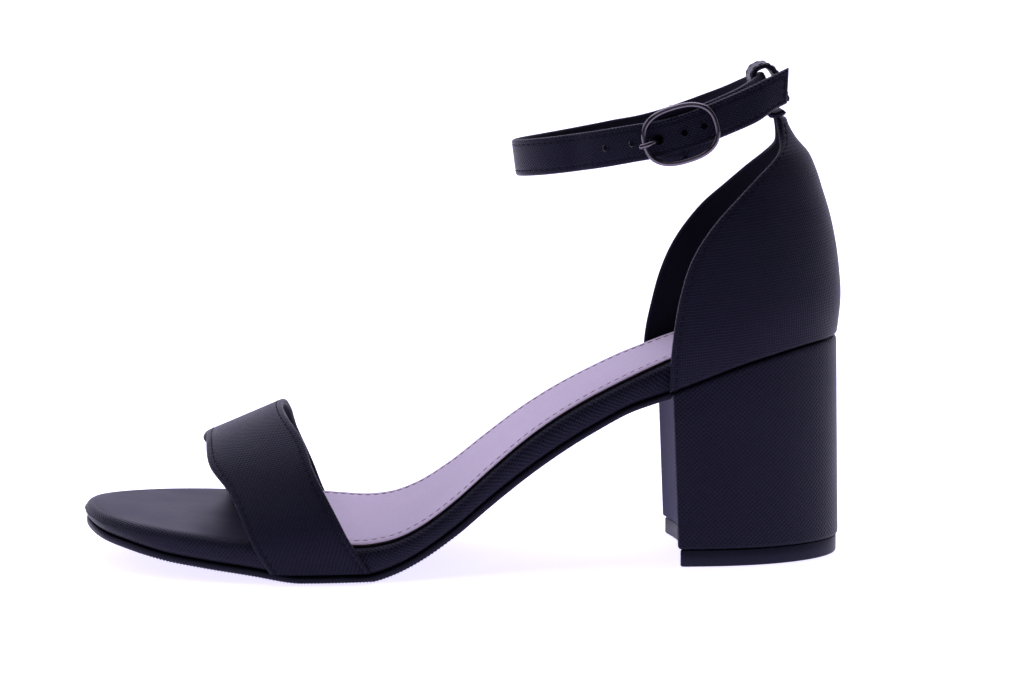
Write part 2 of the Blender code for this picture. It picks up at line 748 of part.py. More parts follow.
def strap_frame():
    """Points, width directions, thickness directions and sizes along the ankle strap."""
    route, thick, free = strap_route()
    z = strap_height(route[:, 0], route[:, 1])
    path = np.column_stack([route, z])
    slope = np.gradient(STRAP_RISE.columns["z"], STRAP_RISE.key)
    rise = through(STRAP_RISE.key, slope, path[:, 0])
    wide = np.column_stack([-rise, np.zeros(len(path)), np.ones(len(path))])
    wide /= np.linalg.norm(wide, axis=1, keepdims=True)
    upright = smoothstep((path[:, 0] - TIP_X + TIP_TURN) / (TIP_TURN - 2.0))
    upright[:-free] = 0.0
    wide = wide * (1 - upright[:, None]) + np.array([0.04, 0.0, 1.0]) * upright[:, None]
    along = np.gradient(path, axis=0)
    thin = np.cross(along, wide)
    thin /= np.linalg.norm(thin, axis=1, keepdims=True)
    width = np.full(len(path), STRAP_WIDTH)
    narrow = smoothstep(np.linspace(0, 1.6, free))
    width[-free:] = STRAP_WIDTH + (STRAP_TIP_WIDTH - STRAP_WIDTH) * narrow
    width[-1] -= 0.8
    return path, wide, thin, width / 2, thick / 2


def buckle_frame():
    """Middle of the buckle on the free end, and its directions along, up and out."""
    x = np.array([BUCKLE_X - 1.0, BUCKLE_X, BUCKLE_X + 1.0])
    y = FREE_END.at("y", x)
    points = np.column_stack([x, y, strap_height(x, y)])
    along = points[2] - points[0]
    along /= np.linalg.norm(along)
    out = np.cross(along, (-along[2], 0.0, along[0]))
    out /= np.linalg.norm(out)
    up = np.cross(out, along)
    out, up = (out, up) if out[1] < 0 else (-out, -up)
    return points[1], along, up if up[2] > 0 else -up, out


def strap_hole(x, radius):
    """A drill through the free end at a station, square to it."""
    y = FREE_END.at("y", np.array([x - 0.5, x, x + 0.5]))
    if x < FREE_START_X:
        y = np.full(3, y[1])
    along = np.array([1.0, y[2] - y[0], 0.0])
    out = np.array([along[1], -along[0], 0.0])
    out /= np.linalg.norm(out)
    middle = np.array([x, y[1], strap_height(x, y[1])])
    path = np.stack([middle - out * 1.6, middle + out * 1.6])
    drill = solid("strap_drill", rod(path, radius, 8), bpy.data.materials["strap"])
    drill.hide_render = True
    drill.display_type = "WIRE"
    return drill


def build_strap(finish):
    strap = solid("ankle_strap", swept(*strap_frame()), finish, sharp=0.8)
    stations = [(x, HOLE_RADIUS) for x in HOLE_STATIONS_X] + [(PRONG_HOLE_X, PRONG_HOLE_RADIUS)]
    for x, radius in stations:
        cut = strap.modifiers.new("hole", "BOOLEAN")
        cut.operation = "DIFFERENCE"
        cut.solver = "EXACT"
        cut.object = strap_hole(x, radius)
    return strap


def build_buckle(finish):
    """Oval rim over the free end, and a bar that passes under it from edge to edge."""
    middle, along, up, out = buckle_frame()
    angle = np.linspace(0, 2 * np.pi, 33)[:-1]
    a = np.sign(np.cos(angle)) * np.abs(np.cos(angle)) ** (2 / BUCKLE_POWER)
    b = np.sign(np.sin(angle)) * np.abs(np.sin(angle)) ** (2 / BUCKLE_POWER)
    lift = STRAP_THICK / 2 + GAP + BUCKLE_RIM_DEPTH / 2
    centre = middle + out * lift
    path = centre + BUCKLE_HALF_LENGTH * a[:, None] * along + BUCKLE_HALF_HEIGHT * b[:, None] * up
    tangent = np.roll(path, -1, axis=0) - np.roll(path, 1, axis=0)
    tangent /= np.linalg.norm(tangent, axis=1, keepdims=True)
    side = np.cross(tangent, out)
    half_width = np.full(len(path), BUCKLE_RIM_WIDTH / 2)
    half_depth = np.full(len(path), BUCKLE_RIM_DEPTH / 2)
    face = np.repeat(out[None], len(path), 0)
    rim = solid("buckle_frame", swept(path, side, face, half_width, half_depth, closed=True), finish)
    bar = bar_place()
    low = np.array([bar[0], bar[1], strap_height(bar[0], bar[1])])
    depth = np.dot(low - middle, out)
    bend = np.array([(0.0, lift), (0.0, 0.4), (0.3, depth + 0.7), (0.9, depth)])
    reach = BUCKLE_HALF_HEIGHT - bend[:, 0]
    across = np.concatenate([-reach, [0.0], reach[::-1]])
    deep = np.concatenate([bend[:, 1], [depth], bend[::-1, 1]])
    shift = np.dot(low - middle, along)
    bar_path = middle + along * shift + across[:, None] * up + deep[:, None] * out
    bar_rod = solid("buckle_bar", rod(bar_path, BAR_RADIUS, 8), finish)
    join = rim.modifiers.new("bar", "BOOLEAN")
    join.operation = "UNION"
    join.solver = "EXACT"
    join.object = bar_rod
    bar_rod.hide_render = True
    bar_rod.display_type = "WIRE"
    return rim


def build_prong(finish):
    """Prong: a rod from beside the bar, out through the strap's hole and onto the rim."""
    middle, along, up, out = buckle_frame()
    bar = bar_place()
    low = np.array([bar[0], bar[1], strap_height(bar[0], bar[1])])
    depth = np.dot(low - middle, out)
    shift = np.dot(low - middle, along)
    start = shift - BAR_RADIUS - GAP - STRAP_THICK - GAP
    hole = (PRONG_HOLE_X - BUCKLE_X) / along[0]
    over = STRAP_THICK / 2 + GAP + BUCKLE_RIM_DEPTH + GAP + PRONG_RADIUS
    end = -BUCKLE_HALF_LENGTH
    shape = np.array([
        (start, depth),
        (start - 1.3, depth + 0.3),
        (hole + 1.1, -2.0),
        (hole + 0.4, -0.9),
        (hole - 0.3, 0.3),
        (hole - 1.1, 1.5),
        (hole - 2.3, over - 1.0),
        (end + 0.9, over - 0.2),
        (end, over),
        (end - 1.2, over - 0.1),
    ])
    path = middle + shape[:, :1] * along + shape[:, 1:] * out
    return solid("buckle_prong", rod(path, PRONG_RADIUS, 8), finish)


def build_loop(finish):
    """Back loop: a strip turned once round the strap, resting on the counter's neck."""
    lean = np.radians(LOOP_LEAN_DEG)
    up = np.array([-np.sin(lean), 0.0, np.cos(lean)])
    back = np.array([np.cos(lean), 0.0, np.sin(lean)])
    centre = np.array([LOOP_CENTRE[0], 0.0, LOOP_CENTRE[1]])
    angle = np.radians(np.linspace(-70.0, -395.0, 20))
    a = np.sign(np.cos(angle)) * np.abs(np.cos(angle)) ** 0.75
    b = np.sign(np.sin(angle)) * np.abs(np.sin(angle)) ** 0.75
    path = centre + LOOP_HALF_DEPTH * a[:, None] * back + LOOP_HALF_HEIGHT * b[:, None] * up
    along = np.gradient(path, axis=0)
    wide = np.repeat([[0.0, 1.0, 0.0]], len(path), 0)
    thin = np.cross(along, wide)
    thin /= np.linalg.norm(thin, axis=1, keepdims=True)
    half_width = np.full(len(path), LOOP_HALF_WIDTH)
    half_thick = np.full(len(path), LOOP_WALL / 2)
    return solid("back_loop", swept(path, wide, thin, half_width, half_thick), finish)


def main():
    for old in list(bpy.data.objects):
        bpy.data.objects.remove(old, do_unlink=True)
    black = (0.012, 0.012, 0.022)
    build_outsole(material("outsole_rubber", (0.006, 0.006, 0.009), 0.6))
    build_platform(material("platform_wrap", black, 0.45))
    build_insole(material("insole_sock", (0.55, 0.46, 0.60), 0.7))
    build_vamp(material("vamp_leather", black, 0.45))
    build_counter(material("counter_leather", black, 0.45))
    build_heel(material("heel_wrap", black, 0.45))
    build_top_piece(material("top_piece_rubber", (0.008, 0.008, 0.012), 0.55))
    build_strap(material("strap", black, 0.45))
    build_loop(material("loop_leather", black, 0.45))
    metal = material("buckle_metal", (0.10, 0.09, 0.12), 0.25, 1.0)
    build_buckle(metal)
    build_prong(metal)


main()
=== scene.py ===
"""Block heel sandal for the left foot: its looks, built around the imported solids.

Lengths are in millimetres and become metres when a mesh is made.  The frame is the part's own:
the toe points to -X, the outer side with the buckle to -Y, +Z is up and the floor is z = 0.
"""

import bmesh
import bpy
import numpy as np
from mathutils import Matrix, Vector


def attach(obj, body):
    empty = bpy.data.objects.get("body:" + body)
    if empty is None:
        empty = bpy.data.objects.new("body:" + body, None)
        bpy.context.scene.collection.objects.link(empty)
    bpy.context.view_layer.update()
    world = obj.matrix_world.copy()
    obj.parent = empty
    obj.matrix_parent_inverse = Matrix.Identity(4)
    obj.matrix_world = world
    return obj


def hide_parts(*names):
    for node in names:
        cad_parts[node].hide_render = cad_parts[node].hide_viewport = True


MM = 0.001
UV_MM = 0.01

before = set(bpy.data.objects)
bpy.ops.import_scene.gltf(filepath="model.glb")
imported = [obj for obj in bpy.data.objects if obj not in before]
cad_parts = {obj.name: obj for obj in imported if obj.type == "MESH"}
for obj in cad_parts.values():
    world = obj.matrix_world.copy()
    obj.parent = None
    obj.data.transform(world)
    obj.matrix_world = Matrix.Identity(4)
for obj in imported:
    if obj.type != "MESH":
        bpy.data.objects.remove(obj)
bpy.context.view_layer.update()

# Sole
GAP = 0.3
OUTSOLE_THICK = 2.2
OUTSOLE_SKIVED = 1.8
OUTSOLE_END_X = -28.2
OUTSOLE_INSET = 0.4
INSOLE_THICK = 1.4
INSOLE_INSET = 1.0
INSOLE_FRONT_X = -149.0
INSOLE_BACK_INSET = 1.6
SOCK_SEAM_IN = 4.3
SOCK_RIM_ROWS = 3
SEAT_CUP = 2.0
CUP_START_X = -50.0
CUP_FULL_X = 0.0
CUP_HALF_WIDTH = 24.0
TOE_ROW_X = -190.0
HEEL_ROW_X = 12.0
END_BLEND = 0.22
STATION_GAP = 0.2
TREAD_FRONT_X = -184.0
TREAD_BACK_X = -88.0
TREAD_PITCH = 1.0
TREAD_DEPTH = 0.3
TREAD_FADE = 6.0
SKIVE_START_X = -100.0
SKIVE_LENGTH = 60.0

# Heel
HEEL_BACK_TOP = 24.0
HEEL_BACK_LOW = 25.3
HEEL_HALF_WIDTH = 24.4
HEEL_HALF_WIDTH_LOW = 24.1
HEEL_WIDEST_X = -17.0
HEEL_POWER = 2.1
HEEL_ROUND_X = 8.0
BREAST_TOP_X = -27.6
BREAST_LOW_X = -25.8
BREAST_HOLLOW = 4.2
HEEL_JOINT = 0.8
HEEL_CORNER = 1.4
TOP_PIECE_HEIGHT = 5.0
TOP_PIECE_INSET = 0.5
BREAST_LIP = 1.7
BREAST_COVER = 0.35
BREAST_ROUND = 0.5

# Uppers
WALL = 2.0
VAMP_WALL = 1.8
VAMP_BASE_Z = 8.0
VAMP_POWER = 2.15
VAMP_HEM_Z = 3.4
VAMP_INNER_START = 8.0
VAMP_INNER_EASE = 20.0
VAMP_INNER_FORWARD = 3.6
VAMP_INNER_FOOT_FORWARD = 6.7
VAMP_CROWN_FRONT = 36.7
VAMP_CROWN_BACK = 46.4
VAMP_CROWN_Y = 4.0
VAMP_CLEAR = 0.35
VAMP_HALF_WIDTH = 40.0
VAMP_WIDTH = 27.0
VAMP_INSIDE = (-140.0, 2.0, 5.0)
COUNTER_TOP_Z = 131.2
COUNTER_INSIDE = (-12.0, 0.0, 85.0)
SEAT_BACK_X = 24.0
ROUND_START = -17.0
ROUND_LEAST = 14.0

# Ankle strap
STRAP_THICK = 1.8
STRAP_TAIL_THICK = 1.0
STRAP_WIDTH = 10.9
STRAP_TIP_WIDTH = 10.3
RING_FRONT_X = -71.7
RING_BACK_X = 2.6
RING_MIDDLE_X = (RING_FRONT_X + RING_BACK_X) / 2
RING_HALF_LENGTH = (RING_BACK_X - RING_FRONT_X) / 2
RING_HALF_WIDTH = 25.0
RING_SIDE_RISE = 0.055
TAIL_LENGTH = 9.0
TIP_TURN = 13.0
HOLE_RADIUS = 1.0
PRONG_HOLE_RADIUS = 1.5
HOLE_STATIONS_X = (-47.4, -40.0, -25.3, -19.8)
PRONG_HOLE_X = -32.6
FREE_START_X = -50.0
TIP_X = 5.4

# Buckle, prong and back loop
BUCKLE_X = -26.5
BUCKLE_HALF_LENGTH = 10.6
BUCKLE_HALF_HEIGHT = 7.8
BUCKLE_POWER = 2.5
BUCKLE_RIM_WIDTH = 1.5
BUCKLE_RIM_DEPTH = 1.6
BAR_RADIUS = 0.65
PRONG_RADIUS = 0.75
BACKING_SIZE = (10.1, 8.0)
BACKING_THICK = 0.7
LOOP_WALL = 1.5
LOOP_HALF_WIDTH = 6.3
LOOP_HALF_DEPTH = 3.92
LOOP_HALF_HEIGHT = 7.5
LOOP_LEAN_DEG = 23.0
LOOP_POWER = 8 / 3
LOOP_CENTRE = (2.61, 138.99)

# Seams
SEAM_IN = 2.0
STRAP_SEAM_IN = 1.6
LOOP_SEAM_IN = 1.4
SEAM_TROUGH = 0.14
SEAM_WIDTH = 0.35
STITCH_PITCH = 2.3
STITCH_LENGTH = 1.7
THREAD_RADIUS = 0.17
TUBE_GUIDE = (0.23, 0.11, 0.97)
EDGE_STEPS = (0, 0.06, 0.2, 0.45, 0.8, 1.2, 1.6, 1.85, 2.0, 2.15, 2.4, 2.8)

# Camera: the photograph's viewing angle, fitted to the sandal's outline
CAMERA_TARGET = (-73.2, 0.0, 64.3)
CAMERA_AZIMUTH = -2.8
CAMERA_ELEVATION = 9.0
CAMERA_DISTANCE = 900.0
CAMERA_ROLL = -0.1
SENSOR_WIDTH = 36.0
LENS = 106.0


class Table:
    """Rows of named columns; at() reads one column smoothly between the rows."""

    def __init__(self, names, *rows):
        self.columns = dict(zip(names.split(), np.array(rows, float).T))
        self.key = self.columns[names.split()[0]]

    def at(self, name, where):
        return through(self.key, self.columns[name], where)


def through(keys, values, where):
    """Cubic curve through points, with the slope at each point taken from its neighbours."""
    keys, values = np.asarray(keys, float), np.asarray(values, float)
    slopes = np.gradient(values, keys)
    where = np.clip(where, keys[0], keys[-1])
    i = np.clip(np.searchsorted(keys, where) - 1, 0, len(keys) - 2)
    step = keys[i + 1] - keys[i]
    t = (where - keys[i]) / step
    start = (1 + 2 * t) * (1 - t) ** 2 * values[i] + t * (1 - t) ** 2 * step * slopes[i]
    end = t * t * (3 - 2 * t) * values[i + 1] + t * t * (t - 1) * step * slopes[i + 1]
    return start + end


# Plan of the platform in front of the heel: half widths to the outer and the inner side.
PLAN = Table(
    "x outer inner",
    (-199.3, 6.5, 14.0),
    (-195.6, 14.0, 19.4),
    (-187.0, 23.0, 26.8),
    (-177.0, 29.3, 32.4),
    (-165.0, 34.2, 36.4),
    (-150.0, 38.0, 39.0),
    (-136.0, 39.7, 39.2),
    (-122.0, 39.4, 37.0),
    (-108.0, 37.4, 33.2),
    (-94.0, 33.6, 29.6),
    (-80.0, 29.5, 26.6),
    (-66.0, 26.3, 24.5),
    (-52.0, 24.2, 23.4),
    (-40.0, 23.2, 22.8),
    (-30.0, 21.9, 21.7),
    (-22.0, 21.8, 21.8),
)
TOE_TIP = (-201.3, 4.0)

# Side view at the middle of the sole: underside and top of the platform.
SIDE = Table(
    "x belly bed",
    (-202.0, 13.0, 17.0),
    (-195.0, 11.2, 16.2),
    (-186.0, 9.6, 15.3),
    (-177.0, 7.8, 14.5),
    (-165.0, 6.3, 13.5),
    (-150.0, 4.5, 12.2),
    (-138.0, 2.6, 11.2),
    (-126.0, 2.5, 10.4),
    (-115.0, 2.6, 10.4),
    (-108.0, 4.9, 11.8),
    (-101.0, 8.4, 14.9),
    (-91.0, 15.0, 21.7),
    (-81.0, 22.8, 30.0),
    (-70.0, 30.8, 38.7),
    (-60.0, 37.3, 45.3),
    (-49.0, 43.6, 51.3),
    (-40.0, 48.0, 55.5),
    (-32.0, 50.3, 58.7),
    (-28.0, 51.4, 60.2),
    (-20.0, 53.9, 62.7),
    (-10.0, 57.2, 65.8),
    (2.0, 60.9, 68.6),
    (13.0, 64.0, 70.6),
    (25.0, 66.4, 72.0),
)

# Vamp strap edges in side view, by share of the height from the sole to the crown.
VAMP_EDGES = Table(
    "share front back",
    (0.00, -144.8, -115.8),
    (0.08, -146.6, -118.2),
    (0.20, -149.1, -121.4),
    (0.40, -152.1, -125.8),
    (0.70, -157.5, -132.6),
    (0.86, -162.8, -135.7),
    (1.00, -164.5, -141.8),
)

# Heel counter: the back edge, the half width and the two front edges, by height.
COUNTER_BACK = Table(
    "z x half",
    (64.0, 23.7, 24.3),
    (70.0, 24.5, 25.0),
    (77.0, 25.1, 25.4),
    (86.0, 24.5, 25.3),
    (95.0, 23.2, 24.8),
    (103.0, 21.4, 24.0),
    (110.0, 19.2, 22.8),
    (116.0, 17.2, 21.2),
    (121.0, 14.8, 19.0),
    (125.0, 11.3, 14.6),
    (129.0, 8.9, 10.6),
    (134.0, 7.6, 8.6),
)
COUNTER_FRONT = Table(
    "z outer inner",
    (48.0, -28.4, -31.6),
    (62.7, -28.0, -31.2),
    (72.8, -26.9, -29.2),
    (82.4, -25.0, -26.6),
    (90.0, -22.6, -23.4),
    (97.0, -18.8, -19.0),
    (103.5, -13.8, -13.6),
    (109.5, -8.0, -7.0),
    (115.0, -2.4, -1.2),
    (119.5, 2.5, 3.6),
    (123.5, 5.6, 6.3),
    (128.0, 5.8, 6.2),
    (134.0, 4.8, 4.8),
)

# Middle of the ankle strap's band by station, and the free end's way past the buckle in plan.
STRAP_RISE = Table(
    "x z",
    (-74.0, 119.0),
    (-62.0, 120.5),
    (-47.0, 122.9),
    (-40.0, 124.2),
    (-32.0, 125.6),
    (-25.0, 127.5),
    (-19.0, 129.6),
    (-13.0, 131.9),
    (-6.0, 134.8),
    (2.0, 138.9),
    (7.0, 141.2),
)
FREE_END = Table(
    "x y",
    (-56.0, -21.5),
    (-50.0, -24.5),
    (-44.0, -27.2),
    (-36.0, -29.5),
    (-26.2, -30.6),
    (-14.0, -29.4),
    (-4.0, -26.4),
    (5.4, -22.2),
)


def smoothstep(t):
    t = np.clip(t, 0.0, 1.0)
    return t * t * (3 - 2 * t)


def unit(directions):
    """The directions, each one unit long."""
    return directions / np.linalg.norm(directions, axis=-1, keepdims=True)


def arc_over(edge, half):
    """Height of a circle's arc at a distance from an edge, level beyond its radius."""
    return half * np.sqrt(1 - (1 - np.clip(edge / half, 0, 1)) ** 2)


def trough(edge, seam_in):
    """Depth of the soft trough along a seam, a bell curve across it."""
    return SEAM_TROUGH * np.exp(-((edge - seam_in) / SEAM_WIDTH) ** 2)


def superellipse(angle, power):
    """Cosine and sine of an angle with their sizes raised to 2 / power."""
    cosine, sine = np.cos(angle), np.sin(angle)
    return (np.sign(cosine) * np.abs(cosine) ** (2 / power),
            np.sign(sine) * np.abs(sine) ** (2 / power))


def strip_map(run, across):
    """Pattern map of a band: way along it, and way across it."""
    return np.dstack([np.tile(run, (len(across), 1)), np.tile(across[:, None], (1, len(run)))])


def cup(x, y):
    """Rise of the seat towards its sides: a parabola across, eased in along the foot."""
    share = smoothstep((x - CUP_START_X) / (CUP_FULL_X - CUP_START_X))
    return SEAT_CUP * share * (y / CUP_HALF_WIDTH) ** 2


def belly(x, y):
    """Height of the platform's underside."""
    return SIDE.at("belly", x) + cup(x, y)


def bed(x, y):
    """Height of the platform's top."""
    return SIDE.at("bed", x) + cup(x, y)


def under(x, y):
    """Height of whatever lies against the platform's underside."""
    return belly(x, y) - GAP


def ground(x, y):
    """Height of the outsole's underside, level where it meets the floor."""
    slope = np.gradient(SIDE.columns["belly"], SIDE.key)
    stretch = np.sqrt(1 + through(SIDE.key, slope, x) ** 2)
    thin = smoothstep((x - SKIVE_START_X) / SKIVE_LENGTH)
    thick = OUTSOLE_THICK + (OUTSOLE_SKIVED - OUTSOLE_THICK) * thin
    return np.maximum(under(x, y) - thick * stretch, 0.0)


def tread(x, y):
    """Underside with its fine ribs: a cosine along the sole, faded in at both ends."""
    share = smoothstep((x - TREAD_FRONT_X) / TREAD_FADE)
    share = share * smoothstep((TREAD_BACK_X - x) / TREAD_FADE)
    wave = 0.5 - 0.5 * np.cos(2 * np.pi * x / TREAD_PITCH)
    return ground(x, y) + TREAD_DEPTH * share * wave


# Curves in plan

def closed_spline(points, count):
    """Smooth closed curve through points, count steps between each two of them."""
    points = np.asarray(points, float)
    ring = np.concatenate([points[-3:], points, points[:4]])
    keys = np.concatenate([[0], np.cumsum(np.linalg.norm(np.diff(ring, axis=0), axis=1))])
    steps = np.arange(count * len(points)) / count + 3
    where = np.interp(steps, np.arange(len(ring)), keys)
    return np.stack([through(keys, ring[:, k], where) for k in range(ring.shape[1])], -1)


def lengths_along(curve):
    """Distance along a curve up to each of its points."""
    return np.concatenate([[0], np.cumsum(np.linalg.norm(np.diff(curve, axis=0), axis=1))])


def even(curve, count):
    """The curve's points laid out again at count equal steps."""
    length = lengths_along(curve)
    where = np.linspace(0, length[-1], count + 1)
    return np.stack([np.interp(where, length, curve[:, k]) for k in range(curve.shape[1])], -1)


def heel_round(back, half_width, inset=0.0):
    """Outer half of the heel's round plan, from its widest place to the back."""
    angle = np.linspace(np.pi / 2, 0, 9)
    reach = back - inset - HEEL_WIDEST_X
    x = HEEL_WIDEST_X + reach * np.cos(angle) ** (2 / HEEL_POWER)
    y = -(half_width - inset) * np.sin(angle) ** (2 / HEEL_POWER)
    return np.stack([x, y], -1)


def platform_plan():
    """Closed outline of the platform: toe tip, outer side, back of the heel, inner side."""
    seat = heel_round(HEEL_BACK_TOP, HEEL_HALF_WIDTH, WALL + GAP + 0.3)
    outer = np.stack([PLAN.key, -PLAN.columns["outer"]], -1)
    inner = np.stack([PLAN.key, PLAN.columns["inner"]], -1)
    other_seat = seat[:-1][::-1] * (1, -1)
    return closed_spline(np.concatenate([[TOE_TIP], outer, seat, other_seat, inner[::-1]]), 24)


def four_sides(outline, front_x, back_x):
    """Front, outer, back and inner stretches of a closed outline, cut at two stations."""
    back = np.argmax(outline[:, 0])
    outer, inner = outline[:back + 1], outline[back:]
    front_tip = np.concatenate([inner[inner[:, 0] < front_x], outer[outer[:, 0] < front_x]])
    back_tip = np.concatenate([outer[outer[:, 0] > back_x], inner[inner[:, 0] > back_x]])
    side = outer[(outer[:, 0] >= front_x) & (outer[:, 0] <= back_x)]
    other = inner[(inner[:, 0] >= front_x) & (inner[:, 0] <= back_x)]
    outer_side = np.concatenate([front_tip[-1:], side, back_tip[:1]])
    inner_side = np.concatenate([back_tip[-1:], other, front_tip[:1]])
    return front_tip, outer_side, back_tip, inner_side


def at_stations(side, stations):
    """A long side's points at the stations, between its own two ends."""
    order = np.argsort(side[:, 0])
    points = np.column_stack([stations, np.interp(stations, side[order, 0], side[order, 1])])
    points = points if side[0, 0] < side[-1, 0] else points[::-1]
    return np.concatenate([side[:1], points, side[-1:]])


def sole_loop(sides, across, stations):
    """Closed loop of a sole piece, and the number of steps along its long sides."""
    front, outer, back, inner = sides
    low = max(outer[0, 0], inner[-1, 0]) + STATION_GAP
    high = min(outer[-1, 0], inner[0, 0]) - STATION_GAP
    stations = stations[(stations > low) & (stations < high)]
    outer, inner = at_stations(outer, stations), at_stations(inner, stations)
    parts = (even(front, across), outer, even(back, across), inner)
    return np.concatenate([part[:-1] for part in parts]), len(outer) - 1


def inset_loop(loop, distance):
    """The loop moved inwards, square to its own line."""
    along = np.roll(loop, -1, axis=0) - np.roll(loop, 1, axis=0)
    inward = unit(np.stack([-along[:, 1], along[:, 0]], -1))
    area = np.sum(loop[:, 0] * np.roll(loop[:, 1], -1) - loop[:, 1] * np.roll(loop[:, 0], -1))
    return loop + inward * distance * np.sign(area)


def filled(loop, across, along, reach=END_BLEND, power=2):
    """Grid of points that fills a loop of four sides, blended from its borders.

    reach is the share of the length over which the front's bow fades out.
    """
    front = loop[:across + 1]
    outer = loop[across:across + along + 1]
    back = loop[across + along:2 * across + along + 1][::-1]
    inner = np.concatenate([loop[2 * across + along:], loop[:1]])[::-1]
    u = np.linspace(0, 1, across + 1)[:, None]
    v = np.linspace(0, 1, along + 1)[:, None, None]
    front_bow = front - (1 - u) * front[0] - u * front[-1]
    back_bow = back - (1 - u) * back[0] - u * back[-1]
    grid = (1 - u) * inner[:, None] + u * outer[:, None]
    grid = grid + np.clip(1 - v / reach, 0, 1) ** power * front_bow
    return grid + np.clip(1 - (1 - v) / END_BLEND, 0, 1) ** 2 * back_bow


# Meshes

def placed(name, mesh):
    """A new object from a finished mesh, on the sandal's body."""
    made = bpy.data.objects.new(name, mesh)
    bpy.context.scene.collection.objects.link(made)
    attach(made, "root")
    return made


def closed_mesh(name, patches, finishes, stands_for=(), sharp=0.9, weld=0.004):
    """One closed piece from patches of points on grids, each with its own pattern map.

    A patch is (points, map in millimetres, number of its finish).  Shared borders are merged
    and all faces are turned outwards.
    """
    points, maps, faces, kinds, start = [], [], [], [], 0
    for patch, flat, kind in patches:
        rows, columns = patch.shape[:2]
        index = start + np.arange(rows * columns).reshape(rows, columns)
        quads = np.stack([index[:-1, :-1], index[:-1, 1:], index[1:, 1:], index[1:, :-1]], -1)
        quads = quads.reshape(-1, 4)
        points.append(patch.reshape(-1, 3))
        maps.append(flat.reshape(-1, 2))
        faces.append(quads)
        kinds.append(np.full(len(quads), kind))
        start += rows * columns
    points, maps, faces = np.concatenate(points), np.concatenate(maps), np.concatenate(faces)
    mesh = bpy.data.meshes.new(name)
    mesh.from_pydata(points * MM, [], faces.tolist())
    layer = mesh.uv_layers.new(name="pattern")
    layer.data.foreach_set("uv", (maps[faces.ravel()] * UV_MM).ravel())
    mesh.polygons.foreach_set("material_index", np.concatenate(kinds).astype(np.int32))
    work = bmesh.new()
    work.from_mesh(mesh)
    bmesh.ops.remove_doubles(work, verts=work.verts, dist=weld * MM)
    bmesh.ops.dissolve_degenerate(work, edges=work.edges, dist=weld * MM * 0.1)
    bmesh.ops.recalc_face_normals(work, faces=work.faces)
    if work.calc_volume(signed=True) < 0:
        bmesh.ops.reverse_faces(work, faces=work.faces)
    work.to_mesh(mesh)
    work.free()
    mesh.shade_smooth()
    mesh.set_sharp_from_angle(angle=sharp)
    for finish in finishes:
        mesh.materials.append(finish)
    made = placed(name, mesh)
    if stands_for:
        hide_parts(*stands_for)
    return made


def slab(loop, across, along, layers, side=0, top=0):
    """Patches of a closed slab: a floor, walls through the layers, and a top.

    Each layer is an inset from the loop and a function that gives the height at a place.  The
    walls' map runs along the loop and up the wall; the floor's and the top's is the plan.
    """
    rings = [(inset_loop(loop, inset), height) for inset, height in layers]
    walls = [np.column_stack([ring, height(ring[:, 0], ring[:, 1])]) for ring, height in rings]
    walls = np.array([np.concatenate([wall, wall[:1]]) for wall in walls])
    run = lengths_along(np.concatenate([loop, loop[:1]]))
    steps = np.linalg.norm(np.diff(walls, axis=0), axis=-1).mean(1)
    climb = np.concatenate([[0], np.cumsum(steps)])
    patches = [(walls, strip_map(run, climb), side)]
    for (ring, height), kind in ((rings[0], side), (rings[-1], top)):
        grid = filled(ring, across, along)
        patches.append((np.dstack([grid, height(grid[..., 0], grid[..., 1])]), grid, kind))
    return patches


def facing(grid, centre):
    """Unit directions square to a grid of points, turned away from a centre."""
    normal = unit(np.cross(np.gradient(grid, axis=0), np.gradient(grid, axis=1)))
    return normal * np.sign(np.sum(normal * (grid - centre), axis=-1, keepdims=True))


def edge_steps(length, step=1.1, count=None):
    """Distances from one edge of a band to the other, close together near both edges."""
    fine = np.array(EDGE_STEPS)
    inner = length - 2 * fine[-1]
    count = count or max(int(round(inner / step)), 2)
    middle = fine[-1] + inner * np.arange(1, count) / count
    return np.concatenate([fine, middle, length - fine[::-1]])


def wall_faces(mid, normal, edge, half, dip):
    """Outer and inner face of a wall with round edges, from its middle face.

    Half the thickness at a distance from the nearest edge is the height of a circle's arc, so
    both faces meet in a round rim; the outer face sinks by dip where a seam runs.
    """
    arc = arc_over(edge, half)
    return mid + normal * (arc - dip)[..., None], mid - normal * arc[..., None]


